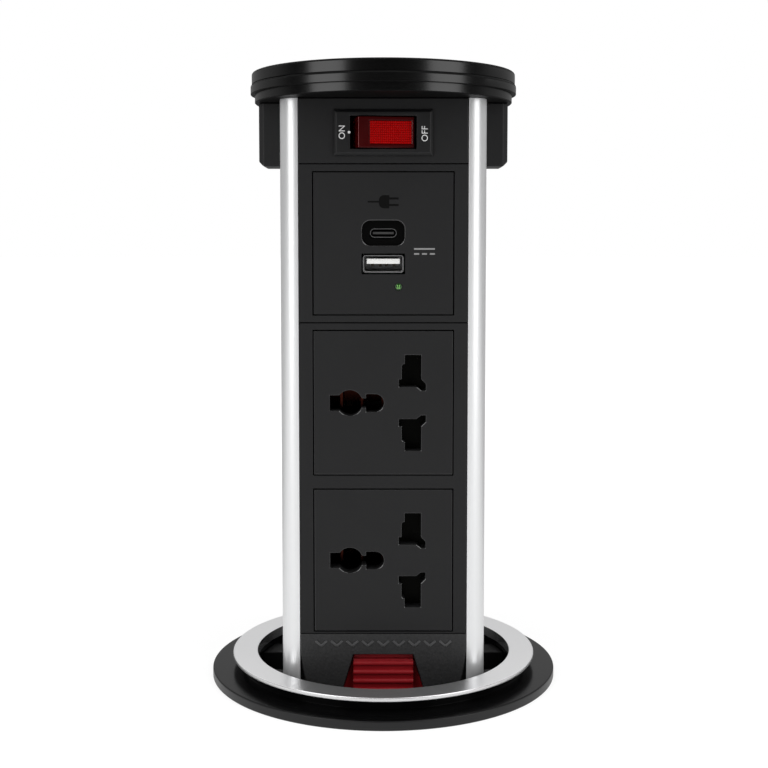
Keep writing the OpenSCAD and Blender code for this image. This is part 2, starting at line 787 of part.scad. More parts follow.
// The bezel's section with both front edges cut off, run along Z
module bezel_ridge(w, len) {
    linear_extrude(len, center = true) polygon([
        [-w / 2, front_y], [-w / 2, front_y - bezel_t + bezel_chamfer],
        [-w / 2 + bezel_chamfer, front_y - bezel_t], [w / 2 - bezel_chamfer, front_y - bezel_t],
        [w / 2, front_y - bezel_t + bezel_chamfer], [w / 2, front_y]
    ]);
}

module switch_body() {
    color([0.14, 0.14, 0.15]) translate([0, 0, switch_z])
        stand(front_y + collar_depth, switch_depth - collar_depth)
            square([switch_body_w, switch_body_h], center = true);
}

module switch_tabs() {
    color([0.8, 0.66, 0.3]) for (x = [-tab_x, 0, tab_x])
        translate([x - tab_w / 2, front_y + switch_depth, switch_z]) cube([tab_w, tab_len, tab_t]);
}

// Turns and places the rocker's pieces, which are drawn level round their pin
module on_rocker() {
    translate([0, rocker_y, switch_z]) rotate([0, 0, rocker_tilt]) children();
}

module lens_outline(gap) {
    translate([lens_shift, 0]) square([lens_w + 2 * gap, lens_h + 2 * gap], center = true);
}

module rocker() {
    color([0.45, 0.02, 0.03]) on_rocker() difference() {
        linear_extrude(rocker_h, center = true) polygon([
            [-rocker_face_w / 2, -rocker_rise], [rocker_face_w / 2, -rocker_rise], [rocker_end, 0],
            [rocker_tail_w / 2, rocker_tail], [-rocker_tail_w / 2, rocker_tail], [-rocker_end, 0]
        ]);
        cylinder(r = rocker_pin_r + pin_gap, h = rocker_h + 2 * cut, center = true);
        stand(-rocker_rise - cut, lens_t + cut) lens_outline(fixed_gap);
    }
}

module rocker_lens() {
    color([0.85, 0.05, 0.05]) on_rocker() stand(-rocker_rise, lens_t) lens_outline(0);
}

module rocker_pin() {
    color([0.7, 0.7, 0.72]) translate([0, rocker_y, switch_z])
        cylinder(r = rocker_pin_r, h = switch_body_h, center = true);
}

// A front panel with a rectangular opening for each insert height in the list
module insert_frame(z0, h, centers, insert_h) {
    difference() {
        panel_blank(z0, h, panel_t);
        for (z = centers) translate([0, 0, z]) stand(front_y - cut, panel_t + 2 * cut)
            square([insert_w + 2 * insert_gap, insert_h + 2 * insert_gap], center = true);
    }
}

module usb_frame() {
    color([0.15, 0.15, 0.16]) insert_frame(usb_z0, usb_frame_h, [usb_z], usb_insert_h);
}

module usb_a_outline(grow) {
    translate([0, -usb_a_down]) round_rect(usb_a_w + 2 * grow, usb_a_h + 2 * grow, usb_a_corner + grow);
}

module usb_a_hole() {
    translate([0, -usb_a_down]) square([usb_a_w + 2 * usb_a_gap, usb_a_h + 2 * usb_a_gap], center = true);
}

module usb_c_outline(grow) {
    corner = usb_c_h / 2 + grow - fixed_gap / 4;
    translate([0, usb_c_up]) round_rect(usb_c_w + 2 * grow, usb_c_h + 2 * grow, corner);
}

module led_outline(gap) {
    translate([led_x, -led_down]) circle(led_d / 2 + gap);
}

// The USB insert: a front wall with a skirt that carries the board
module usb_insert() {
    rim = 2;
    back_lip = 1.2;
    color([0.15, 0.15, 0.16]) translate([0, 0, usb_z]) difference() {
        union() {
            stand(front_y, board_depth) square([insert_w, usb_insert_h], center = true);
            stand(panel_back, rim)
                square([insert_w + 2 * back_lip, usb_insert_h + 2 * back_lip], center = true);
        }
        stand(front_y + usb_wall_t, board_depth)
            square([insert_w - 2 * rim, usb_insert_h - 2 * rim], center = true);
        stand(front_y - cut, recess_t + cut) translate([0, usb_c_up])
            round_rect(recess_w, recess_h, recess_r);
        stand(front_y - cut, usb_wall_t + 2 * cut) {
            usb_c_outline(fixed_gap);
            usb_a_hole();
            led_outline(fixed_gap);
        }
    }
}

module usb_board() {
    chip_w = 14;
    chip_t = 3;
    color([0.05, 0.3, 0.15]) translate([0, 0, usb_z]) {
        stand(front_y + board_depth, board_t) square([insert_w - cut, usb_insert_h - cut], center = true);
        stand(front_y + board_depth + board_t, chip_t) translate([0, usb_c_up])
            square(chip_w, center = true);
    }
}

module usb_c_shell() {
    front = front_y + recess_t;
    color([0.75, 0.75, 0.77]) translate([0, 0, usb_z]) difference() {
        stand(front, board_depth - recess_t) usb_c_outline(0);
        stand(front - cut, board_depth - recess_t - port_floor + cut) usb_c_outline(-port_sheet);
    }
}

module usb_c_tongue() {
    tongue_h = 0.7;
    tongue_gap = 1.1;
    tip = 0.8;
    front = front_y + recess_t + tip;
    color([0.1, 0.1, 0.1]) translate([0, 0, usb_z]) stand(front, front_y + board_depth - port_floor - front)
        translate([0, usb_c_up]) square([usb_c_w - 2 * tongue_gap, tongue_h], center = true);
}

module usb_a_shell() {
    color([0.78, 0.78, 0.8]) translate([0, 0, usb_z]) difference() {
        stand(front_y, board_depth) usb_a_outline(0);
        stand(front_y - cut, board_depth - port_floor + cut) usb_a_outline(-port_sheet);
    }
}

module usb_a_tongue() {
    color([0.9, 0.9, 0.88]) stand(front_y + tongue_a_tip, board_depth - port_floor - tongue_a_tip)
        translate([-tongue_a_w / 2, tongue_a_z]) square([tongue_a_w, tongue_a_h]);
}

// Four leaves under the tongue, each bowed down near its tip
module usb_a_contacts() {
    tip_y = front_y + tongue_a_tip + contact_tip;
    rear_y = front_y + board_depth - port_floor;
    color([0.82, 0.62, 0.28]) for (x = contact_places) translate([x - contact_w / 2, 0, tongue_a_z])
        rotate([90, 0, 90]) linear_extrude(contact_w) polygon([
            [tip_y, 0], [rear_y, 0], [rear_y, -contact_t], [tip_y + contact_bow_len, -contact_t],
            [tip_y + contact_bow_len / 2, -contact_t - contact_bow], [tip_y, -contact_t]
        ]);
}

module power_led() {
    color([0.2, 0.9, 0.3]) translate([0, 0, usb_z]) stand(front_y, board_depth) led_outline(0);
}

module socket_frame() {
    color([0.15, 0.15, 0.16]) insert_frame(release_top, socket_frame_h, socket_z, socket_insert_h);
}

// The upper pin slot: a wide slot with a stepped side, a foot, and a slanted blade's opening
module pin_slot() {
    right = slot_x + slot_w;
    translate([slot_x, slot_z]) square([slot_w, slot_h]);
    translate([slot_x - step_w, slot_z]) square([step_w + cut, step_h - step_w]);
    translate([slot_x, slot_z + step_h - step_w]) circle(step_w);
    translate([slot_x - foot_w, slot_z]) square([foot_w + cut, foot_h]);
    polygon([
        [right - cut, slot_z + foot_h + cut], [right, slot_z + foot_h],
        [right + blade_w, slot_z - blade_drop + blade_h - blade_w], [right + blade_w, slot_z - blade_drop],
        [right, slot_z - blade_drop], [right - blade_w, slot_z], [right - cut, slot_z + cut]
    ]);
}

// The earth opening: a flat slot, a round hole, a neck and a D-shaped hole
module earth_slot() {
    translate([-earth_slot_x, -earth_slot_h / 2]) square([earth_slot_x - earth_x, earth_slot_h]);
    translate([-earth_x, 0]) circle(earth_d / 2);
    translate([-earth_x, -earth_neck_h / 2]) square([earth_x - dee_x + cut, earth_neck_h]);
    translate([-dee_x, -dee_h / 2]) square([dee_h / 2, dee_h]);
    translate([-dee_x + dee_h / 2, 0]) circle(dee_h / 2);
}

module socket_face(z) {
    color([0.16, 0.16, 0.17]) translate([0, 0, z]) stand(front_y, panel_t) difference() {
        square([insert_w, socket_insert_h], center = true);
        pin_slot();
        mirror([0, 1]) pin_slot();
        earth_slot();
    }
}

module socket_face_upper() { socket_face(socket_z[1]); }

module socket_face_lower() { socket_face(socket_z[0]); }

// The space that the shutter's upper blade passes on its way
module blade_path() {
    translate([blade_x0 - shutter_travel - pass_gap, blade_z0 - pass_gap])
        square([blade_x1 - blade_x0 + shutter_travel + 2 * pass_gap, blade_z1 - blade_z0 + 2 * pass_gap]);
}

module socket_housing(z) {
    top = front_y + panel_t;
    color([0.1, 0.1, 0.11]) translate([0, 0, z]) difference() {
        stand(top, housing_depth - panel_t) square([housing_w, housing_h], center = true);
        stand(top - cut, pocket_floor - top + cut) for (m = [0, 1]) mirror([0, m]) blade_path();
        stand(top - cut, pocket_floor - top + cut) translate([spring_post_x, -blade_z0])
            square([blade_x1 + pass_gap - spring_post_x, 2 * blade_z0]);
        stand(top - cut, housing_depth) {
            for (m = [0, 1]) mirror([0, m]) chamber_outline();
            earth_chamber();
        }
    }
}

module chamber_outline() {
    translate([slot_x - foot_w, slot_z - chamber_margin])
        square([foot_w + slot_w + blade_w, slot_h + chamber_margin]);
}

module earth_chamber() {
    translate([-earth_slot_x - chamber_margin, -earth_d / 2 - chamber_margin])
        square([earth_slot_x + chamber_margin - dee_x + dee_h, earth_d + 2 * chamber_margin]);
}

module socket_housing_upper() { socket_housing(socket_z[1]); }

module socket_housing_lower() { socket_housing(socket_z[0]); }

module shutter(z) {
    bridge_x = blade_x1 - spring_seat;
    color([0.17, 0.18, 0.16]) translate([0, 0, z]) stand(shutter_y, shutter_t) polygon([
        [blade_x0, blade_z1], [blade_x1, blade_z1], [blade_x1, -blade_z1], [blade_x0, -blade_z1],
        [blade_x0, -blade_z0], [bridge_x, -blade_z0], [bridge_x, blade_z0], [blade_x0, blade_z0]
    ]);
}

module shutter_upper() { shutter(socket_z[1]); }

module shutter_lower() { shutter(socket_z[0]); }

// The coil that closes the shutter, as the solid that its turns fill
module shutter_spring(z) {
    spring_len = blade_x1 - spring_seat - spring_post_x - 2 * fixed_gap;
    color([0.7, 0.7, 0.72]) translate([spring_post_x + fixed_gap, shutter_y + shutter_t / 2, z])
        rotate([0, 90, 0]) ring(spring_r / 2, spring_r, spring_len);
}

module shutter_spring_upper() { shutter_spring(socket_z[1]); }

module shutter_spring_lower() { shutter_spring(socket_z[0]); }

// A leaf of a contact, at x and z, as tall as h, from the mouth back to the bar
module contact_leaf(x, z, h) {
    translate([x, front_y + mouth_depth, z - h / 2])
        cube([brass_t, bar_y - front_y - mouth_depth + brass_t, h]);
}

// A strip behind the housings, from z0 to z1
module bar_strip(x, z0, z1) {
    translate([x, bar_y, z0]) cube([bar_w, brass_t, z1 - z0]);
}

// A cross piece that joins a contact's leaves to the strip
module bar_link(x0, x1, z, h) {
    translate([x0, bar_y, z - h / 2]) cube([x1 - x0, brass_t, h]);
}

// The crimped barrel that holds a wire's end
module wire_barrel(x, z) {
    translate([x, wire_y, z]) ring(wire_r + pin_gap, wire_r + pin_gap + barrel_wall, barrel_len);
    translate([x - bar_w / 2, bar_y, z])
        cube([bar_w, wire_y - wire_r - barrel_wall / 2 - bar_y - pin_gap, barrel_len]);
}

function slot_mid(side) = side * (slot_z + slot_h / 2);

module live_bar() {
    top = socket_z[1] + slot_mid(1) + leaf_h / 2;
    color([0.82, 0.62, 0.28]) {
        bar_strip(live_bar_x, socket_z[0] + slot_mid(1) - leaf_h / 2, top + barrel_len);
        wire_barrel(live_bar_x + bar_w / 2, top);
        for (z = socket_z) {
            contact_leaf(slot_x - brass_t / 2, z + slot_mid(1), leaf_h);
            contact_leaf(slot_x + slot_w - brass_t, z + slot_mid(1), leaf_h);
            bar_link(slot_x - brass_t / 2, live_bar_x + bar_w, z + slot_mid(1), leaf_h);
        }
    }
}

module neutral_bar() {
    color([0.82, 0.62, 0.28]) {
        bar_strip(neutral_bar_x, supply_z, neutral_top + barrel_len);
        wire_barrel(neutral_bar_x + bar_w / 2, supply_z);
        wire_barrel(neutral_bar_x + bar_w / 2, neutral_top);
        for (z = socket_z) {
            contact_leaf(slot_x - brass_t / 2, z + slot_mid(-1), leaf_h);
            contact_leaf(slot_x + slot_w - brass_t, z + slot_mid(-1), leaf_h);
            bar_link(neutral_bar_x, slot_x + slot_w, z + slot_mid(-1), leaf_h);
        }
    }
}

module earth_bar() {
    color([0.78, 0.45, 0.25]) {
        bar_strip(earth_bar_x, supply_z, socket_z[1] + earth_leaf_h / 2);
        wire_barrel(earth_bar_x + bar_w / 2, supply_z);
        for (z = socket_z) {
            contact_leaf(-earth_x - earth_d / 2 + brass_t, z, earth_leaf_h);
            contact_leaf(-earth_x + earth_d / 2 - brass_t, z, earth_leaf_h);
            contact_leaf(-dee_x + dee_h - brass_t, z, earth_leaf_h);
            bar_link(earth_bar_x, -dee_x + dee_h, z, earth_leaf_h);
        }
    }
}

// The release opening's outline in X and Z, grown all round
module button_outline(grow) {
    polygon([
        [-button_top_w / 2 - grow, button_top + grow], [button_top_w / 2 + grow, button_top + grow],
        [button_low_w / 2 + grow, button_z0 - grow], [-button_low_w / 2 - grow, button_z0 - grow]
    ]);
}

// The visible front of the release block, with sides that draw in towards the lower end
module block_front() {
    w = half_panel - fixed_gap;
    side_z = release_top - block_straight;
    translate([-w, side_z]) square([2 * w, block_straight - seam / 2]);
    intersection() {
        translate([-w, -block_low]) square([2 * w, side_z + block_low + cut]);
        translate([block_side_r - w, side_z]) circle(block_side_r);
        translate([w - block_side_r, side_z]) circle(block_side_r);
    }
}

module release_block() {
    low = shell_z0 + fixed_gap;
    nose_low = guide_z1 - nose_window;
    nose_high = guide_z1 + nose_tip_h + nose_slope + 2 * nose_window;
    color([0.17, 0.17, 0.18]) {
        difference() {
            union() {
                stand(front_y, tongue_depth + cut) block_front();
                translate([-half_panel - tongue_w, tongue_y, low])
                    cube([panel_w + 2 * tongue_w, tongue_t, release_top - seam / 2 - low]);
            }
            stand(front_y - cut, panel_t + cut) button_outline(0);
            stand(front_y - cut, panel_t + cut) translate([-leaf_w / 2 - nose_window, nose_low])
                square([leaf_w + 2 * nose_window, nose_high - nose_low]);
        }
        for (x = [-leaf_screw_x, leaf_screw_x]) translate([x, 0, leaf_screw_z]) difference() {
            stand(tongue_y + tongue_t / 2, leaf_y - tongue_y - tongue_t / 2) circle(leaf_boss_r);
            stand(tongue_y + tongue_t, leaf_y - tongue_y) circle(leaf_screw_r);
        }
    }
}

// The red button: flanks that fill the opening, a ribbed pad and a rim that keeps it in
module release_button() {
    keep_y = tongue_y + tongue_t + pass_gap;
    pad_y = front_y + pad_depth;
    pad_high = button_top - pad_margin;
    pad_low = button_z0 + pad_margin;
    color([0.6, 0.1, 0.12]) {
        stand(front_y + flank_depth, keep_y - front_y - flank_depth + leaf_keep_t) button_outline(-pass_gap);
        stand(keep_y, leaf_keep_t) button_outline(keep_w);
        stand(pad_y, flank_depth) translate([-pad_w / 2, pad_low]) square([pad_w, pad_high - pad_low]);
        for (i = [0:rib_count - 1]) translate([0, pad_y, pad_high - rib_pitch / 2 - i * rib_pitch])
            rotate([0, 90, 0]) cylinder(r = rib_r, h = pad_w, center = true);
    }
}

// The spring leaf: its nose rests on the guide and holds the raised tower
module latch_leaf() {
    tip_y = front_y - nose_reach;
    nose_z = guide_z1 + pin_gap;
    color([0.72, 0.73, 0.75]) difference() {
        translate([-leaf_w / 2, 0, 0]) rotate([90, 0, 90]) linear_extrude(leaf_w) polygon([
            [leaf_y, leaf_top], [leaf_y, nose_z + nose_tip_h + nose_slope], [tip_y, nose_z + nose_tip_h],
            [tip_y, nose_z], [leaf_y + leaf_t, nose_z], [leaf_y + leaf_t, leaf_top]
        ]);
        for (x = [-leaf_screw_x, leaf_screw_x]) translate([x, 0, leaf_screw_z])
            stand(leaf_y - cut, leaf_t + 2 * cut) circle(leaf_screw_r);
    }
}

module latch_screws() {
    head_t = 1.2;
    color([0.6, 0.6, 0.62]) for (x = [-leaf_screw_x, leaf_screw_x]) translate([x, 0, leaf_screw_z]) {
        stand(tongue_y + tongue_t + pass_gap, leaf_y + leaf_t - tongue_y - tongue_t)
            circle(leaf_screw_r - pin_gap);
        stand(leaf_y + leaf_t, head_t) circle(leaf_boss_r);
    }
}

module foot_plate() {
    color([0.14, 0.14, 0.15]) difference() {
        translate([0, 0, foot_z0]) linear_extrude(foot_t) difference() {
            tower_outline(stop_w);
            translate([0, gland_y]) circle(gland_r + fixed_gap);
        }
        translate([0, 0, foot_z0]) at_ports() mirror([0, 0, 1])
            countersunk(port_bore_r, port_head_r, port_screw_len, fixed_gap);
    }
}

module foot_screws() {
    color([0.6, 0.6, 0.62]) translate([0, 0, foot_z0]) at_ports() mirror([0, 0, 1])
        countersunk(port_bore_r - pin_gap, port_head_r, port_screw_len, 0);
}

module gland_body() {
    color([0.13, 0.13, 0.14]) translate([0, gland_y, 0]) difference() {
        union() {
            translate([0, 0, foot_z0 - hex_h]) cylinder(r = hex_r + hex_step, h = hex_h, $fn = 6);
            translate([0, 0, foot_z0 - cut]) cylinder(r = gland_r, h = foot_t + gland_nut_h + cut);
        }
        translate([0, 0, foot_z0 - hex_h - cut])
            cylinder(d = cable_d, h = foot_t + gland_nut_h + hex_h + 2 * cut);
    }
}

module gland_nut() {
    color([0.15, 0.15, 0.16]) translate([0, gland_y, shell_z0]) difference() {
        cylinder(r = hex_r, h = gland_nut_h, $fn = 6);
        translate([0, 0, -cut]) cylinder(r = gland_r + pin_gap, h = gland_nut_h + 2 * cut);
    }
}

module gland_dome() {
    neck = 4;
    color([0.13, 0.13, 0.14]) translate([0, gland_y, foot_z0 - hex_h - dome_h]) difference() {
        union() {
            translate([0, 0, neck]) cylinder(r = hex_r, h = dome_h - neck);
            cylinder(r1 = hex_r - neck / 2, r2 = hex_r, h = neck);
        }
        translate([0, 0, -cut]) cylinder(d = cable_d, h = dome_h + 2 * cut);
    }
}

module terminal_block() {
    wire_hole = 4;
    color([0.85, 0.85, 0.82]) difference() {
        translate([-terminal_w / 2, wire_y - terminal_d / 2, shell_z0])
            cube([terminal_w, terminal_d, terminal_h]);
        for (x = wire_places()) translate([x, wire_y, shell_z0 + terminal_h - wire_hole])
            cylinder(r = wire_r + pin_gap, h = wire_hole + cut);
    }
}

// The terminal that feeds the USB board, with the live wire through it and the neutral wire in it
module usb_terminal() {
    board_back = front_y + board_depth + board_t;
    reach = wire_r + usb_terminal_wall;
    left = neutral_bar_x + bar_w / 2;
    right = live_bar_x + bar_w / 2;
    bore = wire_r + pin_gap;
    color([0.85, 0.85, 0.82]) difference() {
        translate([left - reach, board_back, usb_terminal_z])
            cube([right - left + 2 * reach, wire_y + reach - board_back, usb_terminal_h]);
        translate([right, wire_y, usb_terminal_z - cut]) cylinder(r = bore, h = usb_terminal_h + 2 * cut);
        translate([left, wire_y, usb_terminal_z - cut]) cylinder(r = bore, h = wire_in + cut);
    }
}

// The wires' places across the terminal block: live, neutral and earth
function wire_places() = [live_supply_x, neutral_bar_x + bar_w / 2, earth_bar_x + bar_w / 2];

// A straight wire at x, from z0 to z1
module wire(x, z0, z1) {
    translate([x, wire_y, z0]) cylinder(r = wire_r, h = z1 - z0);
}

module live_wire() {
    color([0.45, 0.25, 0.12]) {
        wire(live_supply_x, terminal_z1 - wire_in, switch_z);
        wire(live_bar_x + bar_w / 2, socket_z[1] + slot_mid(1) + leaf_h / 2, switch_z);
    }
}

module neutral_wire() {
    color([0.15, 0.3, 0.7]) {
        wire(neutral_bar_x + bar_w / 2, terminal_z1 - wire_in, supply_z + barrel_len);
        wire(neutral_bar_x + bar_w / 2, neutral_top, usb_terminal_z + wire_in);
    }
}

module earth_wire() {
    color([0.3, 0.6, 0.2]) wire(earth_bar_x + bar_w / 2, terminal_z1 - wire_in, supply_z + barrel_len);
}

desk_flange();
trim_ring();
desk_gasket();
threaded_sleeve();
flange_screws();
guide_bush();
retaining_ring();
clamp_washer();
clamp_nut();
back_shell();
head_block();
cap_base();
cap_seal();
cap_plate();
cap_screws();
switch_bezel();
switch_body();
switch_tabs();
rocker();
rocker_lens();
rocker_pin();
usb_frame();
usb_insert();
usb_board();
usb_c_shell();
usb_c_tongue();
usb_a_shell();
usb_a_tongue();
usb_a_contacts();
usb_terminal();
power_led();
socket_frame();
socket_face_upper();
socket_face_lower();
socket_housing_upper();
socket_housing_lower();
shutter_upper();
shutter_lower();
shutter_spring_upper();
shutter_spring_lower();
live_bar();
neutral_bar();
earth_bar();
release_block();
release_button();
latch_leaf();
latch_screws();
foot_plate();
foot_screws();
gland_body();
gland_nut();
gland_dome();
terminal_block();
live_wire();
neutral_wire();
earth_wire();
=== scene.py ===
import json
import math

import bpy
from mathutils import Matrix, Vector

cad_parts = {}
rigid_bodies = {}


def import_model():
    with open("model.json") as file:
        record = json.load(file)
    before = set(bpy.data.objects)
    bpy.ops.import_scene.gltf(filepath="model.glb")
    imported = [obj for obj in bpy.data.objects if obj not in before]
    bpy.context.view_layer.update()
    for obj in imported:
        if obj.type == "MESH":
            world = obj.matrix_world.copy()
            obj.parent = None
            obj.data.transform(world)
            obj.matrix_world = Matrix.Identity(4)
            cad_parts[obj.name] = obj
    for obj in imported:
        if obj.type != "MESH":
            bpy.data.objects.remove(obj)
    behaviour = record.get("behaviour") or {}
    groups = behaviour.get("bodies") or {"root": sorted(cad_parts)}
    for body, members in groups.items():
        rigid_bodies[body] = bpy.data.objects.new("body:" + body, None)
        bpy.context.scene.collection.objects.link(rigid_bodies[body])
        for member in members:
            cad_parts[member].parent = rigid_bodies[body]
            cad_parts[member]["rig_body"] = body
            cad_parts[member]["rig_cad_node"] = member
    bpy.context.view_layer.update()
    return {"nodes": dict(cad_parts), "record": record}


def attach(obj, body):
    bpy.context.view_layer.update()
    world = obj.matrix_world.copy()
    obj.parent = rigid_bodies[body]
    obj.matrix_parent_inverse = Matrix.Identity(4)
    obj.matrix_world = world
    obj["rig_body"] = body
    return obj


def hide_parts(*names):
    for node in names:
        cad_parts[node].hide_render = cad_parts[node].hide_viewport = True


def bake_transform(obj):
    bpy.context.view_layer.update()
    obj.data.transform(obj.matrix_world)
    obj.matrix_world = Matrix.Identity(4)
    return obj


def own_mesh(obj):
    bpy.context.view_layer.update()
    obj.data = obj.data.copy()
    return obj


bpy.ops.object.select_all(action="SELECT")
bpy.ops.object.delete()
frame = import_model()
nodes = frame["nodes"]
scene = bpy.context.scene
mm = 0.001
print("frame loaded:", len(nodes), "solids")

# camera, at the photograph's angle
photoView = {"place": (0.0, -0.44134, 0.14969), "pitch": 4.309, "lens": 60.709, "sensor": 36.0,
             "shiftX": 0.0009, "shiftY": -0.065, "clip": 0.01}
bpy.ops.object.camera_add(location=photoView["place"],
                          rotation=(math.radians(90 - photoView["pitch"]), 0, 0))
camera = bpy.context.active_object
camera.name = "photoCamera"
camera.data.sensor_width = photoView["sensor"]
camera.data.lens = photoView["lens"]
camera.data.shift_x = photoView["shiftX"]
camera.data.shift_y = photoView["shiftY"]
camera.data.clip_start = photoView["clip"]
scene.camera = camera
scene.view_settings.view_transform = "Standard"
print("camera placed")

# shared by the helpers: gaps in metres, angles in degrees
weldGap = 1e-6
solidWeldGap = 2e-6
flatAngle = 0.3
sharpAngle = 30
roundedAngle = 32
arcSteps = 4


# small helpers for modelling by operator
def deselectAll():
    if bpy.context.mode != "OBJECT":
        bpy.ops.object.mode_set(mode="OBJECT")
    bpy.ops.object.select_all(action="DESELECT")


def makeActive(piece):
    deselectAll()
    piece.select_set(True)
    bpy.context.view_layer.objects.active = piece


def editOn(piece):
    makeActive(piece)
    bpy.ops.object.mode_set(mode="EDIT")
    bpy.ops.mesh.select_mode(type="VERT")
    bpy.ops.mesh.select_all(action="SELECT")


def editOff():
    bpy.ops.object.mode_set(mode="OBJECT")


# selects edges in edit mode by a test on their two ends
def pickEdges(piece, test):
    bpy.ops.mesh.select_mode(type="EDGE")
    bpy.ops.mesh.select_all(action="DESELECT")
    editOff()
    points = piece.data.vertices
    for edge in piece.data.edges:
        edge.select = test(points[edge.vertices[0]].co, points[edge.vertices[1]].co)
    bpy.ops.object.mode_set(mode="EDIT")


# an edge that runs from the front to the back
def runsBack(near, far):
    return abs(near.y - far.y) > weldGap


def rename(piece, name):
    piece.name = name
    piece.data.name = name


def settle(piece, name):
    makeActive(piece)
    bpy.ops.object.transform_apply(location=True, rotation=True, scale=True)
    rename(piece, name)
    return piece


def applyModifier(piece, modifier):
    makeActive(piece)
    bpy.ops.object.modifier_apply(modifier=modifier.name)


# smooth curves, with the large faces kept flat
def smooth(piece, angle):
    makeActive(piece)
    bpy.ops.object.shade_smooth_by_angle(angle=math.radians(angle))
    flatten = piece.modifiers.new("flatFaces", "WEIGHTED_NORMAL")
    flatten.weight = 100
    flatten.keep_sharp = True
    applyModifier(piece, flatten)


def roundEdges(piece, width, segments=2):
    bevel = piece.modifiers.new("softEdge", "BEVEL")
    bevel.width = width * mm
    bevel.segments = segments
    bevel.limit_method = "ANGLE"
    bevel.angle_limit = math.radians(sharpAngle)
    bevel.use_clamp_overlap = False
    applyModifier(piece, bevel)
    smooth(piece, roundedAngle)


def joinAll(pieces, name):
    makeActive(pieces[0])
    for piece in pieces[1:]:
        piece.select_set(True)
    bpy.ops.object.join()
    joined = bpy.context.active_object
    rename(joined, name)
    return joined


def copyOf(piece):
    makeActive(piece)
    bpy.ops.object.duplicate()
    return bpy.context.active_object


def wear(piece, finish, body):
    piece.data.materials.clear()
    piece.data.materials.append(finish)
    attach(piece, body)


# a second finish on the faces that pass a test
def paintFaces(piece, finish, test):
    piece.data.materials.append(finish)
    for face in piece.data.polygons:
        if test(face):
            face.material_index = len(piece.data.materials) - 1


# how far a normal leans on the edges that get a finish of their own
frontEdge = {"most": -0.97, "least": -0.1, "aside": 0.25, "glint": 0.2}


# a face of a rounded front edge, which leans between the front and a side
def isFrontEdge(face):
    return frontEdge["most"] < face.normal.y < frontEdge["least"]


# the part of a rounded edge that looks up and aside, which takes a lighter finish as a painted glint
def isGlintEdge(face):
    return isFrontEdge(face) and min(face.normal.z, abs(face.normal.x)) > frontEdge["glint"]


# a copy of a solid with its edges rounded, as a moulding or a pressing has them
def softEdged(spec):
    source = nodes[spec["node"]]
    body = source["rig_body"]
    piece = copyOf(source)
    piece.parent = None
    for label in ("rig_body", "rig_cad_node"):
        if label in piece:
            del piece[label]
    rename(piece, spec["name"])
    bpy.ops.mesh.customdata_custom_splitnormals_clear()
    editOn(piece)
    bpy.ops.mesh.remove_doubles(threshold=solidWeldGap)
    if spec.get("dissolve", True):
        bpy.ops.mesh.dissolve_limited(angle_limit=math.radians(flatAngle))
    editOff()
    if spec["edge"]:
        roundEdges(piece, spec["edge"], spec.get("segments", 2))
    else:
        smooth(piece, sharpAngle)
    wear(piece, finishes[spec["finish"]], body)
    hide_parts(spec["node"])
    return piece


# points of an arc in a section, in millimetres
def arc(centre, radius, start, end):
    angles = [math.radians(start + (end - start) * step / arcSteps) for step in range(arcSteps + 1)]
    return [(centre[0] + radius * math.cos(angle), centre[1] + radius * math.sin(angle))
            for angle in angles]


# a closed section (radius, height) drawn by extruding one point
def drawn(section):
    deselectAll()
    bpy.ops.mesh.primitive_plane_add(size=mm)
    piece = bpy.context.active_object
    editOn(piece)
    bpy.ops.mesh.merge(type="CENTER")
    bpy.ops.transform.translate(value=(section[0][0] * mm, 0, section[0][1] * mm))
    for near, far in zip(section, section[1:] + section[:1]):
        step = ((far[0] - near[0]) * mm, 0, (far[1] - near[1]) * mm)
        bpy.ops.mesh.extrude_region_move(TRANSFORM_OT_translate={"value": step})
    bpy.ops.mesh.select_all(action="SELECT")
    bpy.ops.mesh.remove_doubles(threshold=weldGap)
    editOff()
    return piece


# a section spun round Z
def turned(name, section, steps, axis=(0.0, 0.0)):
    piece = drawn(section)
    editOn(piece)
    bpy.ops.mesh.spin(steps=steps, angle=2 * math.pi, center=(0, 0, 0), axis=(0, 0, 1))
    bpy.ops.mesh.select_all(action="SELECT")
    bpy.ops.mesh.remove_doubles(threshold=weldGap)
    bpy.ops.mesh.normals_make_consistent(inside=False)
    editOff()
    piece.location = (axis[0] * mm, axis[1] * mm, 0)
    settle(piece, name)
    smooth(piece, roundedAngle)
    return piece


# a section wound into a helix; its two open ends are left selected
def wound(piece, axis, lead, turns, steps):
    helix = piece.modifiers.new("helix", "SCREW")
    helix.axis = axis
    helix.steps = helix.render_steps = steps
    helix.iterations = turns
    helix.screw_offset = lead * mm
    helix.use_smooth_shade = False
    applyModifier(piece, helix)
    editOn(piece)
    bpy.ops.mesh.remove_doubles(threshold=weldGap)
    bpy.ops.mesh.select_all(action="DESELECT")
    bpy.ops.mesh.select_mode(type="EDGE")
    bpy.ops.mesh.select_non_manifold(extend=False)


# closes what wound leaves open, up to a number of sides
def closeEnds(sides, angle):
    bpy.ops.mesh.select_all(action="SELECT")
    bpy.ops.mesh.fill_holes(sides=sides)
    bpy.ops.mesh.normals_make_consistent(inside=False)
    editOff()
    bpy.ops.object.shade_smooth_by_angle(angle=math.radians(angle))


# a block between two corners, in millimetres
def block(low, high):
    deselectAll()
    bpy.ops.mesh.primitive_cube_add(size=1.0)
    piece = bpy.context.active_object
    piece.scale = [(far - near) * mm for near, far in zip(low, high)]
    piece.location = [(near + far) / 2 * mm for near, far in zip(low, high)]
    return settle(piece, "block")


# a stroke of a sign, proud of its face and sunk a little into it
def stroke(sign, left, right, low, high):
    return block((left, sign["face"] - sign["proud"], low), (right, sign["face"] + sign["sunk"], high))


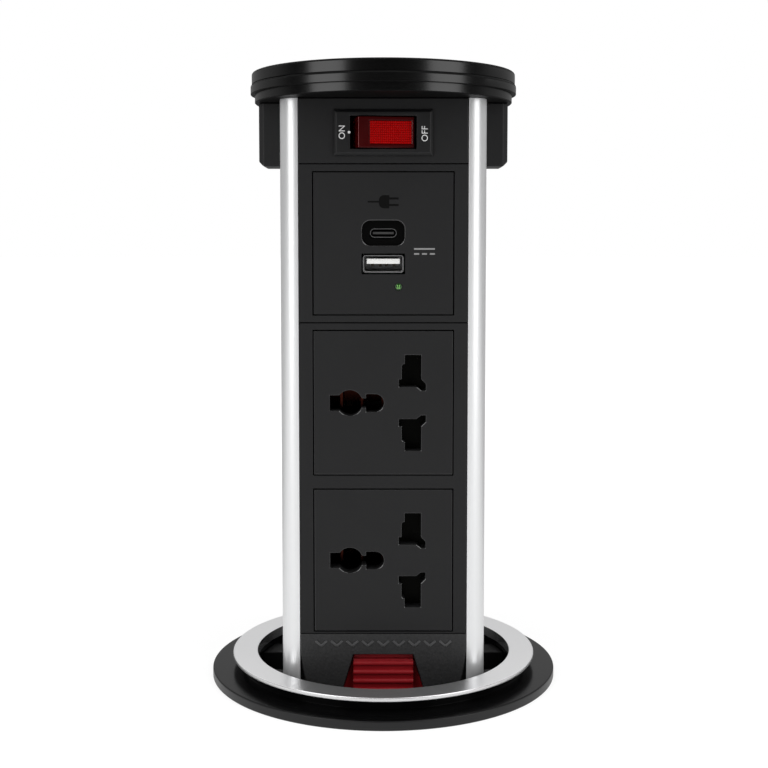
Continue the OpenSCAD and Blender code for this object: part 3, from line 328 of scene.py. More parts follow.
# one piece cut out of another
def carve(piece, cutter):
    cut = piece.modifiers.new("cut", "BOOLEAN")
    cut.operation = "DIFFERENCE"
    cut.solver = "EXACT"
    cut.use_self = True
    cut.object = cutter
    applyModifier(piece, cut)
    bpy.data.objects.remove(cutter)
    return piece


# a block with round ends, seen from the front; the ends stay just short of meeting
def stadium(half, front, back, height, endShare=0.99, endSteps=10):
    piece = block((-half[0], front, height - half[1]), (half[0], back, height + half[1]))
    editOn(piece)
    pickEdges(piece, runsBack)
    bpy.ops.mesh.bevel(offset=half[1] * endShare * mm, segments=endSteps, affect="EDGES",
                       clamp_overlap=False)
    editOff()
    return piece


# printed letters that face the front, read upwards; a capital takes its share of the letter size
def printedWord(word, height, place, proud, capitalShare=0.7):
    deselectAll()
    bpy.ops.object.text_add()
    letters = bpy.context.active_object
    letters.data.body = word
    letters.data.size = height * mm / capitalShare
    letters.data.align_x = "CENTER"
    letters.data.align_y = "CENTER"
    letters.data.extrude = proud * mm / 2
    bpy.ops.object.convert(target="MESH")
    letters = bpy.context.active_object
    letters.rotation_euler = (math.radians(90), math.radians(-90), 0)
    letters.location = Vector(place) * mm
    return settle(letters, word)


# shared surface effects, each a node group
def newGroup(name, inputs, outputs):
    tree = bpy.data.node_groups.new(name, "ShaderNodeTree")
    for label, value in inputs:
        socket = tree.interface.new_socket(label, in_out="INPUT", socket_type="NodeSocketFloat")
        socket.default_value = value
    for label in outputs:
        tree.interface.new_socket(label, in_out="OUTPUT", socket_type="NodeSocketFloat")
    return tree, tree.nodes.new("NodeGroupInput"), tree.nodes.new("NodeGroupOutput")


def mathNode(tree, operation, first, second):
    node = tree.nodes.new("ShaderNodeMath")
    node.operation = operation
    for socket, value in zip(node.inputs, (first, second)):
        if isinstance(value, (int, float)):
            socket.default_value = value
        else:
            tree.links.new(value, socket)
    return node.outputs[0]


# two values, each times its share, added up
def sumOf(tree, first, firstShare, second, secondShare):
    return mathNode(tree, "ADD", mathNode(tree, "MULTIPLY", first, firstShare),
                    mathNode(tree, "MULTIPLY", second, secondShare))


def noiseNode(tree, vector, scale, detail, dimensions="3D"):
    node = tree.nodes.new("ShaderNodeTexNoise")
    node.noise_dimensions = dimensions
    node.inputs["Detail"].default_value = detail
    tree.links.new(vector, node.inputs["W" if dimensions == "1D" else "Vector"])
    tree.links.new(scale, node.inputs["Scale"])
    return node.outputs["Fac"]


def objectCoords(tree):
    return tree.nodes.new("ShaderNodeTexCoord").outputs["Object"]


def ramp(tree, value, ends, low, high):
    node = tree.nodes.new("ShaderNodeMapRange")
    for label, number in (("From Min", ends[0]), ("From Max", ends[1]), ("To Min", low), ("To Max", high)):
        node.inputs[label].default_value = number
    tree.links.new(value, node.inputs["Value"])
    return node.outputs["Result"]


# fine pebbling from a spark-eroded mould, with broad shifts of tone
def buildMouldGrain():
    finer = 1.7
    tree, given, result = newGroup("mouldGrain", (("Size", 3000.0), ("Patch", 45.0)), ("Height", "Tone"))
    coords = objectCoords(tree)
    pebbles = tree.nodes.new("ShaderNodeTexVoronoi")
    pebbles.feature = "SMOOTH_F1"
    tree.links.new(coords, pebbles.inputs["Vector"])
    tree.links.new(given.outputs["Size"], pebbles.inputs["Scale"])
    fine = noiseNode(tree, coords, mathNode(tree, "MULTIPLY", given.outputs["Size"], finer), 2.0)
    patches = noiseNode(tree, coords, given.outputs["Patch"], 3.0)
    tree.links.new(sumOf(tree, pebbles.outputs["Distance"], 0.7, fine, 0.5), result.inputs["Height"])
    tree.links.new(sumOf(tree, patches, 0.55, fine, 0.45), result.inputs["Tone"])
    return tree


# faint smears and rubbed patches that change the gloss
def buildHandledGloss():
    inputs = (("Rough", 0.4), ("Spread", 0.08), ("Size", 40.0))
    tree, given, result = newGroup("handledGloss", inputs, ("Roughness",))
    smear = noiseNode(tree, objectCoords(tree), given.outputs["Size"], 4.0)
    swing = mathNode(tree, "MULTIPLY", mathNode(tree, "SUBTRACT", smear, 0.5), 2.0)
    change = mathNode(tree, "MULTIPLY", swing, given.outputs["Spread"])
    tree.links.new(mathNode(tree, "ADD", change, given.outputs["Rough"]), result.inputs["Roughness"])
    return tree


# lines along Z, as the die leaves on a drawn section
def buildDrawnLines():
    alongLines = 0.004
    tree, given, result = newGroup("drawnLines", (("Size", 4000.0), ("Patch", 30.0)), ("Height", "Tone"))
    squash = tree.nodes.new("ShaderNodeVectorMath")
    squash.operation = "MULTIPLY"
    squash.inputs[1].default_value = (1.0, 1.0, alongLines)
    tree.links.new(objectCoords(tree), squash.inputs[0])
    lines = noiseNode(tree, squash.outputs[0], given.outputs["Size"], 3.0)
    patches = noiseNode(tree, squash.outputs[0], given.outputs["Patch"], 2.0)
    tree.links.new(lines, result.inputs["Height"])
    tree.links.new(sumOf(tree, lines, 0.6, patches, 0.4), result.inputs["Tone"])
    return tree


# circles round Z, as a lathe leaves
def buildTurnedLines():
    tree, given, result = newGroup("turnedLines", (("Size", 6000.0), ("Patch", 30.0)), ("Height", "Tone"))
    coords = objectCoords(tree)
    parts = tree.nodes.new("ShaderNodeSeparateXYZ")
    tree.links.new(coords, parts.inputs[0])
    across, along = parts.outputs["X"], parts.outputs["Y"]
    radius = mathNode(tree, "SQRT", sumOf(tree, across, across, along, along), 0.0)
    circles = noiseNode(tree, radius, given.outputs["Size"], 2.0, "1D")
    patches = noiseNode(tree, coords, given.outputs["Patch"], 2.0)
    tree.links.new(circles, result.inputs["Height"])
    tree.links.new(sumOf(tree, circles, 0.5, patches, 0.5), result.inputs["Tone"])
    return tree


patterns = {"mouldGrain": buildMouldGrain(), "drawnLines": buildDrawnLines(),
            "turnedLines": buildTurnedLines()}
handledGloss = buildHandledGloss()
finishes = {}


# one finish: a pattern gives tone and relief, smears give the gloss
def addFinish(name, dark, light, pattern="mouldGrain", size=3000.0, patch=45.0, relief=0.01, rough=0.45,
              spread=0.06, metallic=0.0, specular=0.5, glow=0.0):
    finish = bpy.data.materials.new(name)
    finish.use_nodes = True
    tree = finish.node_tree
    shader = tree.nodes["Principled BSDF"]
    surface = tree.nodes.new("ShaderNodeGroup")
    surface.node_tree = patterns[pattern]
    surface.inputs["Size"].default_value = size
    surface.inputs["Patch"].default_value = patch
    gloss = tree.nodes.new("ShaderNodeGroup")
    gloss.node_tree = handledGloss
    gloss.inputs["Rough"].default_value = rough
    gloss.inputs["Spread"].default_value = spread
    tint = tree.nodes.new("ShaderNodeMix")
    tint.data_type = "RGBA"
    tint.inputs["A"].default_value = (*dark, 1.0)
    tint.inputs["B"].default_value = (*light, 1.0)
    tree.links.new(surface.outputs["Tone"], tint.inputs["Factor"])
    tree.links.new(tint.outputs["Result"], shader.inputs["Base Color"])
    tree.links.new(gloss.outputs["Roughness"], shader.inputs["Roughness"])
    bump = tree.nodes.new("ShaderNodeBump")
    bump.inputs["Strength"].default_value = 1.0
    bump.inputs["Distance"].default_value = relief * mm
    tree.links.new(surface.outputs["Height"], bump.inputs["Height"])
    tree.links.new(bump.outputs["Normal"], shader.inputs["Normal"])
    shader.inputs["Metallic"].default_value = metallic
    shader.inputs["Specular IOR Level"].default_value = specular
    if glow:
        tree.links.new(tint.outputs["Result"], shader.inputs["Emission Color"])
        shader.inputs["Emission Strength"].default_value = glow
    finish.diffuse_color = (*light, 1.0)
    finishes[name] = finish


def grey(tone):
    return (tone, tone, tone)


# black plastics
addFinish("mouldedBlack", (0.006, 0.006, 0.0065), (0.011, 0.011, 0.0115), size=5000, relief=0.004,
          rough=0.4, specular=0.3)
addFinish("satinBlack", (0.0016, 0.0016, 0.0017), (0.0036, 0.0036, 0.0038), size=5500, relief=0.002,
          rough=0.2, spread=0.03, specular=0.08)
addFinish("capBlack", grey(0.0004), grey(0.001), size=3500, relief=0.0004, rough=0.21, spread=0.02,
          specular=0.58)
addFinish("capTop", grey(0.003), grey(0.006), size=3500, relief=0.002, rough=0.5, spread=0.05,
          specular=0.06)
addFinish("panelBlack", (0.0095, 0.0095, 0.01), (0.015, 0.015, 0.0155), size=6000, relief=0.004,
          rough=0.5, specular=0.22)
addFinish("insertBlack", (0.0098, 0.0098, 0.0103), (0.0152, 0.0152, 0.0157), size=6500, relief=0.0035,
          rough=0.47, specular=0.22)
addFinish("grainedBlack", grey(0.0), (0.046, 0.046, 0.047), size=1300, patch=1200, relief=0.07,
          rough=0.46, specular=0.35)
addFinish("embossBlack", (0.03, 0.03, 0.031), (0.055, 0.055, 0.056), size=2500, patch=300, relief=0.01,
          rough=0.3, specular=0.7)
# rounded front edges: glossier, which is real, and lighter than the faces, which is a painted highlight
addFinish("glossyEdgeHighlight", (0.014, 0.014, 0.0145), (0.022, 0.022, 0.0225), size=5000, relief=0.001,
          rough=0.26, spread=0.03)
# a light grey for edges, a painted glint where a polished edge would catch the softboxes
addFinish("paintedGlint", (0.12, 0.12, 0.122), (0.24, 0.24, 0.242), size=5000, patch=900, relief=0.001,
          rough=0.3, spread=0.03)
addFinish("innerBlack", grey(0.003), grey(0.006), size=4000, relief=0.004, rough=0.5, specular=0.1)
addFinish("pocketBlack", grey(0.0006), grey(0.0012), size=3500, relief=0.0008, rough=0.3, spread=0.03,
          specular=0.06)
# the pocket's rim: glossy, and lighter as a painted highlight
addFinish("pocketEdgeHighlight", grey(0.02), grey(0.035), size=3500, relief=0.0008, rough=0.22, spread=0.03,
          specular=1.0)
addFinish("sealRubber", grey(0.0007), grey(0.0016), size=4500, relief=0.001, rough=0.21, spread=0.02,
          specular=0.58)
addFinish("shutterGrey", (0.003, 0.003, 0.0024), (0.006, 0.006, 0.0048), size=3500, relief=0.004,
          rough=0.45, specular=0.03)

# metals
addFinish("ringMetal", (0.88, 0.88, 0.89), (0.96, 0.96, 0.965), "turnedLines", size=9000, patch=20,
          relief=0.0004, rough=0.3, spread=0.02, metallic=0.94)
addFinish("ringEdge", (0.6, 0.6, 0.605), (0.72, 0.72, 0.725), "turnedLines", size=9000, patch=20,
          relief=0.0004, rough=0.25, spread=0.02, metallic=1.0)
addFinish("drawnAluminium", (0.71, 0.715, 0.72), (0.79, 0.795, 0.8), "drawnLines", size=5000, patch=160,
          relief=0.0006, rough=0.32, spread=0.02, metallic=0.58)
addFinish("platedSteel", (0.5, 0.5, 0.51), (0.66, 0.66, 0.67), size=2500, relief=0.003, rough=0.3,
          metallic=1.0)
addFinish("portSteel", (0.46, 0.46, 0.465), (0.6, 0.6, 0.61), size=5000, relief=0.001, rough=0.28,
          spread=0.03, metallic=1.0)
# a bright matte grey for the steel inside the lower port, a painted reflection of light
addFinish("paintedPortReflection", grey(0.5), grey(0.95), size=3000, patch=900, relief=0.002, rough=0.3)
addFinish("portRim", (0.16, 0.16, 0.162), (0.24, 0.24, 0.242), size=5000, relief=0.001, rough=0.35,
          spread=0.03, metallic=1.0)
addFinish("contactBrass", (0.62, 0.34, 0.12), (0.78, 0.5, 0.22), size=2500, patch=180, relief=0.003,
          rough=0.28, metallic=1.0)
# brass and copper darkened to near black, a painted shade for contacts deep in their holes
addFinish("shadedBrass", (0.02, 0.012, 0.005), (0.05, 0.03, 0.012), size=2500, patch=180, relief=0.003,
          rough=0.4, metallic=1.0)
addFinish("shadedCopper", (0.025, 0.006, 0.004), (0.07, 0.018, 0.011), size=2500, patch=180, relief=0.003,
          rough=0.34, metallic=1.0)

# reds of the switch and the button
addFinish("rockerRed", (0.03, 0.0004, 0.0006), (0.056, 0.0008, 0.0011), size=4000, relief=0.002,
          rough=0.25, specular=0.14)
# a light pink for the rocker's raised edge, a painted highlight
addFinish("rockerHighlight", (0.34, 0.11, 0.11), (0.5, 0.18, 0.18), size=4000, relief=0.002, rough=0.2)
addFinish("lensRed", (0.26, 0.0006, 0.0006), (0.42, 0.001, 0.001), size=3000, patch=220, relief=0.001,
          rough=0.3, specular=0.04, glow=0.2)
# a darker red without glow for the grooves between the lens prisms, a painted shade
addFinish("lensGrooveShade", (0.08, 0.0003, 0.0003), (0.14, 0.0005, 0.0005), size=3000, patch=220, relief=0.001,
          rough=0.3, specular=0.04)
addFinish("buttonRed", (0.17, 0.005, 0.008), (0.27, 0.009, 0.013), size=2600, patch=160, relief=0.01,
          rough=0.3, specular=0.32)

# ports, printed marks, the power light and the wiring
addFinish("whitePlastic", (0.78, 0.78, 0.76), (0.86, 0.86, 0.85), size=4000, relief=0.002, rough=0.35)
addFinish("tongueGrey", grey(0.03), grey(0.05), size=4000, relief=0.002, rough=0.35)
addFinish("markWhite", grey(0.62), grey(0.8), size=6000, relief=0.002, rough=0.5, specular=0.2)
addFinish("markGrey", grey(0.2), grey(0.3), size=6000, relief=0.002, rough=0.5, specular=0.2)
addFinish("markDark", grey(0.002), grey(0.004), size=6000, relief=0.002, rough=0.5, specular=0.08)
addFinish("ledGlass", (0.006, 0.035, 0.004), (0.014, 0.06, 0.01), size=1500, patch=900, relief=0.002,
          rough=0.15)
addFinish("ledGreen", (0.1, 0.3, 0.05), (0.22, 0.5, 0.14), size=1500, patch=900, relief=0.002, rough=0.3,
          glow=0.32)
addFinish("boardGreen", (0.008, 0.09, 0.03), (0.015, 0.14, 0.05), size=1500, patch=90, relief=0.004,
          rough=0.3)
addFinish("wireBrown", (0.1, 0.04, 0.015), (0.14, 0.06, 0.025), size=2500, relief=0.003, rough=0.4)
addFinish("wireBlue", (0.015, 0.06, 0.3), (0.03, 0.09, 0.4), size=2500, relief=0.003, rough=0.4)
addFinish("wireGreen", (0.05, 0.22, 0.03), (0.3, 0.34, 0.03), "drawnLines", size=900, patch=400,
          relief=0.003, rough=0.4)
print("finishes mixed:", len(finishes))

# every solid takes a finish, also those that stay inside
slotFinishes = {
    "black_plastic": "mouldedBlack", "panel_plastic": "panelBlack", "inner_plastic": "innerBlack",
    "cap_plastic": "capBlack", "seal_rubber": "sealRubber", "trim_metal": "ringMetal",
    "shell_aluminium": "drawnAluminium", "steel": "platedSteel", "brass": "contactBrass",
    "rocker_red": "rockerRed", "lens_red": "lensRed", "button_red": "buttonRed",
    "white_plastic": "whitePlastic", "led_green": "ledGreen", "board_green": "boardGreen",
    "shutter_grey": "shutterGrey", "wire_brown": "wireBrown", "wire_blue": "wireBlue",
    "wire_green": "wireGreen"}
# the earth bar and the USB-A contacts take the darkened metals, a painted shade deep in their holes
nodeFinishes = {"earth_bar": "shadedCopper", "usb_c_tongue": "tongueGrey", "usb_a_contacts": "shadedBrass"}
nodeSlots = {part["node"]: part["material_slot"] for part in frame["record"]["subparts"]}
for name, solid in nodes.items():
    chosen = nodeFinishes.get(name) or slotFinishes[nodeSlots[name]]
    solid.data.materials.clear()
    solid.data.materials.append(finishes[chosen])
print("solids finished")

# collar: flange, trim ring and sleeve turned, the guide from its solid
deskFlange = {"well": 43.6, "rim": 58.75, "thick": 3.1, "neck": 48.6, "top": 6.4, "edge": 0.5, "root": 0.15,
              "groove": (49.9, 53.9, 1.2), "seat": (44.1, 4.3), "steps": 192, "topLean": 0.6}


def flangeSection(plan):
    grooveIn, grooveOut, grooveTop = plan["groove"]
    underside = [(plan["well"], 0), (grooveIn, 0), (grooveIn, grooveTop), (grooveOut, grooveTop),
                 (grooveOut, 0), (plan["rim"] - plan["edge"] / 2, 0), (plan["rim"], plan["edge"] / 2)]
    rimEdge = arc((plan["rim"] - plan["edge"], plan["thick"] - plan["edge"]), plan["edge"], 0, 90)
    neckRoot = arc((plan["neck"] + plan["root"], plan["thick"] + plan["root"]), plan["root"], 270, 180)
    collarTop = [(plan["neck"], plan["top"]), (plan["seat"][0], plan["top"]), plan["seat"],
                 (plan["well"], plan["seat"][1])]
    return underside + rimEdge + neckRoot + collarTop


def onFlangeRim(face):
    rimStart = (deskFlange["rim"] - deskFlange["edge"]) * mm
    return face.normal.z < deskFlange["topLean"] and face.center.xy.length > rimStart


flange = turned("flangeMoulding", flangeSection(deskFlange), deskFlange["steps"])
wear(flange, finishes["satinBlack"], "collar")
paintFaces(flange, finishes["mouldedBlack"], onFlangeRim)
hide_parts("desk_flange")

trimRing = {"inner": 43.4, "outer": 51.8, "low": 6.4, "top": 7.8, "edge": 0.3, "skirtThick": 0.6,
            "skirtLow": 4.4, "steps": 192, "sideLean": 0.5}


def ringSection(plan):
    skirtOut = plan["inner"] + plan["skirtThick"]
    section = [(plan["inner"], plan["skirtLow"]), (skirtOut, plan["skirtLow"]), (skirtOut, plan["low"])]
    corners = ((plan["outer"], plan["low"], 270), (plan["outer"], plan["top"], 0),
               (plan["inner"], plan["top"], 90))
    for radius, height, start in corners:
        inward = plan["edge"] if radius == plan["inner"] else -plan["edge"]
        upward = plan["edge"] if height == plan["low"] else -plan["edge"]
        section += arc((radius + inward, height + upward), plan["edge"], start, start + 90)
    return section


ring = turned("turnedRing", ringSection(trimRing), trimRing["steps"])
wear(ring, finishes["ringMetal"], "collar")
paintFaces(ring, finishes["ringEdge"], lambda face: abs(face.normal.z) < trimRing["sideLean"])
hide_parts("trim_ring")

guideBush = {"name": "guideMoulding", "node": "guide_bush", "edge": 0.4, "segments": 3,
             "finish": "innerBlack", "slot": "inner_plastic"}
softEdged(guideBush)

# sleeve with a three-start thread, 6 mm of rise in a turn, as the nut follows it
sleeve = {"crest": 47.0, "root": 46.3, "well": 43.6, "bore": 44.7, "shelf": -18.0, "low": -45.0,
          "plain": -7.2, "footChamfer": 0.5, "neckChamfer": 0.7, "groove": (45.5, -37.1, -35.7),
          "steps": 128}
thread = {"starts": 3, "lead": 6.0, "first": -42.5, "turns": 5, "crestHalf": 0.25, "rootHalf": 0.75,
          "sunk": 0.2, "runOut": 0.4, "steps": 96, "endSides": 6, "smoothAngle": 25}


def sleeveSection(plan):
    grooveOut, grooveLow, grooveTop = plan["groove"]
    outside = [(plan["root"] - plan["footChamfer"], plan["low"]),
               (plan["root"], plan["low"] + plan["footChamfer"]),
               (plan["root"], plan["plain"] - plan["neckChamfer"]), (plan["crest"], plan["plain"]),
               (plan["crest"], 0)]
    inside = [(plan["well"], 0), (plan["well"], plan["shelf"]), (plan["bore"], plan["shelf"]),
              (plan["bore"], grooveTop), (grooveOut, grooveTop), (grooveOut, grooveLow),
              (plan["bore"], grooveLow), (plan["bore"], plan["low"])]
    return outside + inside


def threadRidge(start):
    rise = thread["first"] + start * thread["lead"] / thread["starts"]
    foot = sleeve["root"] - thread["sunk"]
    ridge = drawn([(foot, rise - thread["rootHalf"]), (sleeve["crest"], rise - thread["crestHalf"]),
                   (sleeve["crest"], rise + thread["crestHalf"]), (foot, rise + thread["rootHalf"])])
    wound(ridge, "Z", thread["lead"], thread["turns"], thread["steps"])
    runOut = (sleeve["root"] - thread["runOut"]) / sleeve["crest"]
    bpy.ops.transform.resize(value=(runOut, runOut, 1.0), center_override=(0, 0, 0))
    closeEnds(thread["endSides"], thread["smoothAngle"])
    return ridge


tube = turned("tube", sleeveSection(sleeve), sleeve["steps"])
ridges = [threadRidge(start) for start in range(thread["starts"])]
threaded = joinAll([tube] + ridges, "threadedTube")
wear(threaded, finishes["mouldedBlack"], "collar")
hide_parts("threaded_sleeve")
print("collar done")

# tower: drawn shell and the black front
backShell = {"name": "drawnShell", "node": "back_shell", "edge": 0.2, "finish": "drawnAluminium",
             "slot": "shell_aluminium"}
headBlock = {"name": "headMoulding", "node": "head_block", "edge": 0.35, "segments": 3,
             "finish": "panelBlack", "slot": "panel_plastic"}
usbFrame = {"name": "usbFrameMoulding", "node": "usb_frame", "edge": 0.2, "finish": "panelBlack",
            "slot": "panel_plastic"}
socketFrame = {"name": "socketFrameMoulding", "node": "socket_frame", "edge": 0.2, "finish": "panelBlack",
               "slot": "panel_plastic"}
for spec in (backShell, headBlock, usbFrame, socketFrame):
    softEdged(spec)

# socket faces: the rounded edges of their holes are glossier and lighter, the lighter tone a painted
# highlight, and those that look up and aside take a painted glint
socketUpper = {"name": "upperFaceMoulding", "node": "socket_face_upper", "edge": 0.18,
               "finish": "insertBlack", "slot": "panel_plastic"}
socketLower = {"name": "lowerFaceMoulding", "node": "socket_face_lower", "edge": 0.18,
               "finish": "insertBlack", "slot": "panel_plastic"}
socketHoles = {"reach": 15.0}


# hole edges that take the painted glint
def onGlintedHole(face):
    return isGlintEdge(face) and abs(face.center.x) < socketHoles["reach"] * mm


for spec in (socketUpper, socketLower):
    socketFace = softEdged(spec)
    paintFaces(socketFace, finishes["glossyEdgeHighlight"], isFrontEdge)
    paintFaces(socketFace, finishes["paintedGlint"], onGlintedHole)

# USB face, with the pocket round the upper port
usbInsert = {"name": "usbFaceMoulding", "node": "usb_insert", "edge": 0.2, "finish": "insertBlack",
             "slot": "panel_plastic"}
portPocket = {"half": (7.3, 4.5), "middle": 150.8, "front": -23.85}


def inPocket(face):
    aside = abs(face.center.x) / mm
    above = abs(face.center.z / mm - portPocket["middle"])
    return aside < portPocket["half"][0] and above < portPocket["half"][1]


def behindRim(face):
    return face.center.y > portPocket["front"] * mm


def onPocketRim(face):
    return inPocket(face) and isFrontEdge(face) and not behindRim(face)


usbFace = softEdged(usbInsert)
paintFaces(usbFace, finishes["pocketBlack"], lambda face: inPocket(face) and behindRim(face))
# the pocket's rim edges are glossier and lighter, the lighter tone a painted highlight
paintFaces(usbFace, finishes["pocketEdgeHighlight"], onPocketRim)
# the rim edges that look up and aside take the painted glint
paintFaces(usbFace, finishes["paintedGlint"], lambda face: onPocketRim(face) and isGlintEdge(face))
print("tower done")

# cap: three glossy layers, duller on top and along their edges
capPlate = {"name": "capPlateMoulding", "node": "cap_plate", "edge": 0, "finish": "capBlack",
            "slot": "cap_plastic"}
capSeal = {"name": "capSealMoulding", "node": "cap_seal", "edge": 0, "finish": "sealRubber",
           "slot": "seal_rubber"}
capBase = {"name": "capBaseMoulding", "node": "cap_base", "edge": 0, "finish": "capBlack",
           "slot": "cap_plastic"}
capSideLean = 0.1
for spec in (capPlate, capSeal, capBase):
    paintFaces(softEdged(spec), finishes["capTop"], lambda face: abs(face.normal.z) > capSideLean)
print("cap done")

# switch: bezel, rocker and its lit lens
switchBezel = {"name": "bezelMoulding", "node": "switch_bezel", "edge": 0.2, "finish": "mouldedBlack",
               "slot": "black_plastic"}
rockerKey = {"name": "rockerMoulding", "node": "rocker", "edge": 0.25, "segments": 3, "finish": "rockerRed",
             "slot": "rocker_red", "edgeLean": (-0.9, -0.3), "endLean": 0.2}


# the long raised edge of the rocker, painted a light pink as a painted highlight
def onRaisedEdge(face):
    steepest, flattest = rockerKey["edgeLean"]
    leans = steepest < face.normal.x < flattest and face.normal.y < flattest
    return leans and abs(face.normal.z) < rockerKey["endLean"]


softEdged(switchBezel)
paintFaces(softEdged(rockerKey), finishes["rockerHighlight"], onRaisedEdge)

lens = {"cellsAcross": 20, "cellsUp": 10, "width": 13.4, "height": 7.2, "thick": 1.0, "peak": 0.2,
        "groove": 0.06, "shift": 1.4, "pin": (0.0, -19.0, 182.8), "rise": 6.6, "tilt": 9.0,
        "flatLean": 0.9999}
deselectAll()
bpy.ops.mesh.primitive_grid_add(x_subdivisions=lens["cellsAcross"], y_subdivisions=lens["cellsUp"],
                                size=1.0)
lensPiece = bpy.context.active_object
lensPiece.scale = (lens["width"] * mm, lens["height"] * mm, 1.0)
lensPiece.rotation_euler = (math.radians(90), 0, 0)
lensPiece.location = (lens["shift"] * mm, -(lens["rise"] - lens["peak"]) * mm, 0)
settle(lensPiece, "prismLens")
editOn(lensPiece)
bpy.ops.mesh.inset(thickness=lens["groove"] * mm, use_individual=True)
bpy.ops.mesh.poke(offset=lens["peak"] * mm)
bpy.ops.mesh.select_all(action="DESELECT")
bpy.ops.mesh.select_mode(type="EDGE")
bpy.ops.mesh.select_non_manifold(extend=False)
bpy.ops.mesh.extrude_region()
bpy.ops.transform.translate(value=(0, (lens["thick"] - lens["peak"]) * mm, 0))
bpy.ops.mesh.fill()
bpy.ops.mesh.select_all(action="SELECT")
bpy.ops.mesh.normals_make_consistent(inside=False)
editOff()
lensTilt = math.radians(lens["tilt"])
lensPiece.rotation_euler = (0, 0, lensTilt)
lensPiece.location = Vector(lens["pin"]) * mm
settle(lensPiece, "prismLens")
wear(lensPiece, finishes["lensRed"], "rocker")
lensFront = Vector((math.sin(lensTilt), -math.cos(lensTilt), 0))
# the flat grooves between the prisms take the darker red, a painted shade
paintFaces(lensPiece, finishes["lensGrooveShade"], lambda face: face.normal.dot(lensFront) > lens["flatLean"])
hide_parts("rocker_lens")

bezelMarks = {"height": 2.0, "proud": 0.04, "on": (-13.1, -25.5, 182.8), "off": (13.3, -25.5, 182.3),
              "dot": (-10.9, -25.5, 182.8), "dotRadius": 0.45}
onWord = printedWord("ON", bezelMarks["height"], bezelMarks["on"], bezelMarks["proud"])
offWord = printedWord("OFF", bezelMarks["height"], bezelMarks["off"], bezelMarks["proud"])
deselectAll()
bpy.ops.mesh.primitive_cylinder_add(vertices=24, radius=bezelMarks["dotRadius"] * mm,
                                    depth=bezelMarks["proud"] * mm, rotation=(math.radians(90), 0, 0),
                                    location=Vector(bezelMarks["dot"]) * mm)
dot = settle(bpy.context.active_object, "dot")
wear(joinAll([onWord, offWord, dot], "switchMarks"), finishes["markWhite"], "tower")
print("switch done")

# release: grained block and the ribbed red button
releaseBlock = {"name": "blockMoulding", "node": "release_block", "edge": 0.3, "segments": 3,
                "finish": "grainedBlack", "slot": "panel_plastic"}
releaseButton = {"name": "buttonMoulding", "node": "release_button", "edge": 0.12, "dissolve": False,
                 "finish": "buttonRed", "slot": "button_red"}
softEdged(releaseButton)
# the block's rounded side edges take the glossy edge finish, whose lighter tone is a painted highlight
paintFaces(softEdged(releaseBlock), finishes["glossyEdgeHighlight"],
           lambda face: isFrontEdge(face) and abs(face.normal.x) > frontEdge["aside"])

# a row of chevrons that point to the button
chevrons = {"count": 9, "pitch": 5.1, "middle": 16.2, "arm": 2.5, "lean": 42.0, "stroke": 0.75,
            "face": -24.0, "proud": 0.3, "edge": 0.1}
chevronLean = math.radians(chevrons["lean"])
halfArm = chevrons["arm"] / 2
halfStroke = chevrons["stroke"] / 2
arms = []
for place in range(chevrons["count"]):
    middle = (place - (chevrons["count"] - 1) / 2) * chevrons["pitch"]
    for side in (-1, 1):
        arm = block((-halfArm, -chevrons["proud"], -halfStroke),
                    (halfArm, chevrons["proud"] / 2, halfStroke))
        reach = side * halfArm * math.cos(chevronLean)
        arm.rotation_euler = (0, -side * chevronLean, 0)
        arm.location = Vector((middle + reach, chevrons["face"], chevrons["middle"])) * mm
        settle(arm, "arm")
        roundEdges(arm, chevrons["edge"])
        arms.append(arm)
wear(joinAll(arms, "chevronRow"), finishes["embossBlack"], "tower")

# latch leaf behind the button, cut across where it bends as the button goes in
latchLeaf = {"name": "bendingLeaf", "node": "latch_leaf", "edge": 0, "finish": "platedSteel",
             "slot": "steel"}
leafBend = {"held": 15.3, "pressed": 13.5, "cuts": 9, "middle": -16.5}
leaf = softEdged(latchLeaf)
leaf.parent = None
del leaf["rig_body"]
editOn(leaf)
for cut in range(leafBend["cuts"]):
    share = cut / (leafBend["cuts"] - 1)
    height = leafBend["held"] + (leafBend["pressed"] - leafBend["held"]) * share
    bpy.ops.mesh.select_all(action="SELECT")
    bpy.ops.mesh.bisect(plane_co=(0, 0, height * mm), plane_no=(0, 0, 1))
editOff()
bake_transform(leaf)
print("release done")

# shutter springs as coils, drawn at rest; the real ones close up as a shutter goes aside
shutterCoil = {"wire": 0.13, "radius": 1.0, "turns": 6, "left": 3.3, "right": 12.1, "behind": -17.2,
               "keep": 0.17, "wireSides": 10, "steps": 24, "endSides": 12, "smoothAngle": 40,
               "heights": {"upper": 95.8, "lower": 43.9}}
coilStart = shutterCoil["left"] + shutterCoil["wire"]
coilLead = (shutterCoil["right"] - shutterCoil["wire"] - coilStart) / shutterCoil["turns"]
for level, height in shutterCoil["heights"].items():
    deselectAll()
    bpy.ops.mesh.primitive_circle_add(vertices=shutterCoil["wireSides"], radius=shutterCoil["wire"] * mm,
                                      location=(coilStart * mm, shutterCoil["radius"] * mm, 0))
    coil = settle(bpy.context.active_object, "coil_" + level)
    wound(coil, "X", coilLead, shutterCoil["turns"], shutterCoil["steps"])
    closeEnds(shutterCoil["endSides"], shutterCoil["smoothAngle"])
    coil.location = Vector((0, shutterCoil["behind"], height)) * mm
    settle(coil, "shutterCoil_" + level)
    wear(coil, finishes["platedSteel"], "tower")
    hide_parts("shutter_spring_" + level)
    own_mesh(coil)
print("springs done")

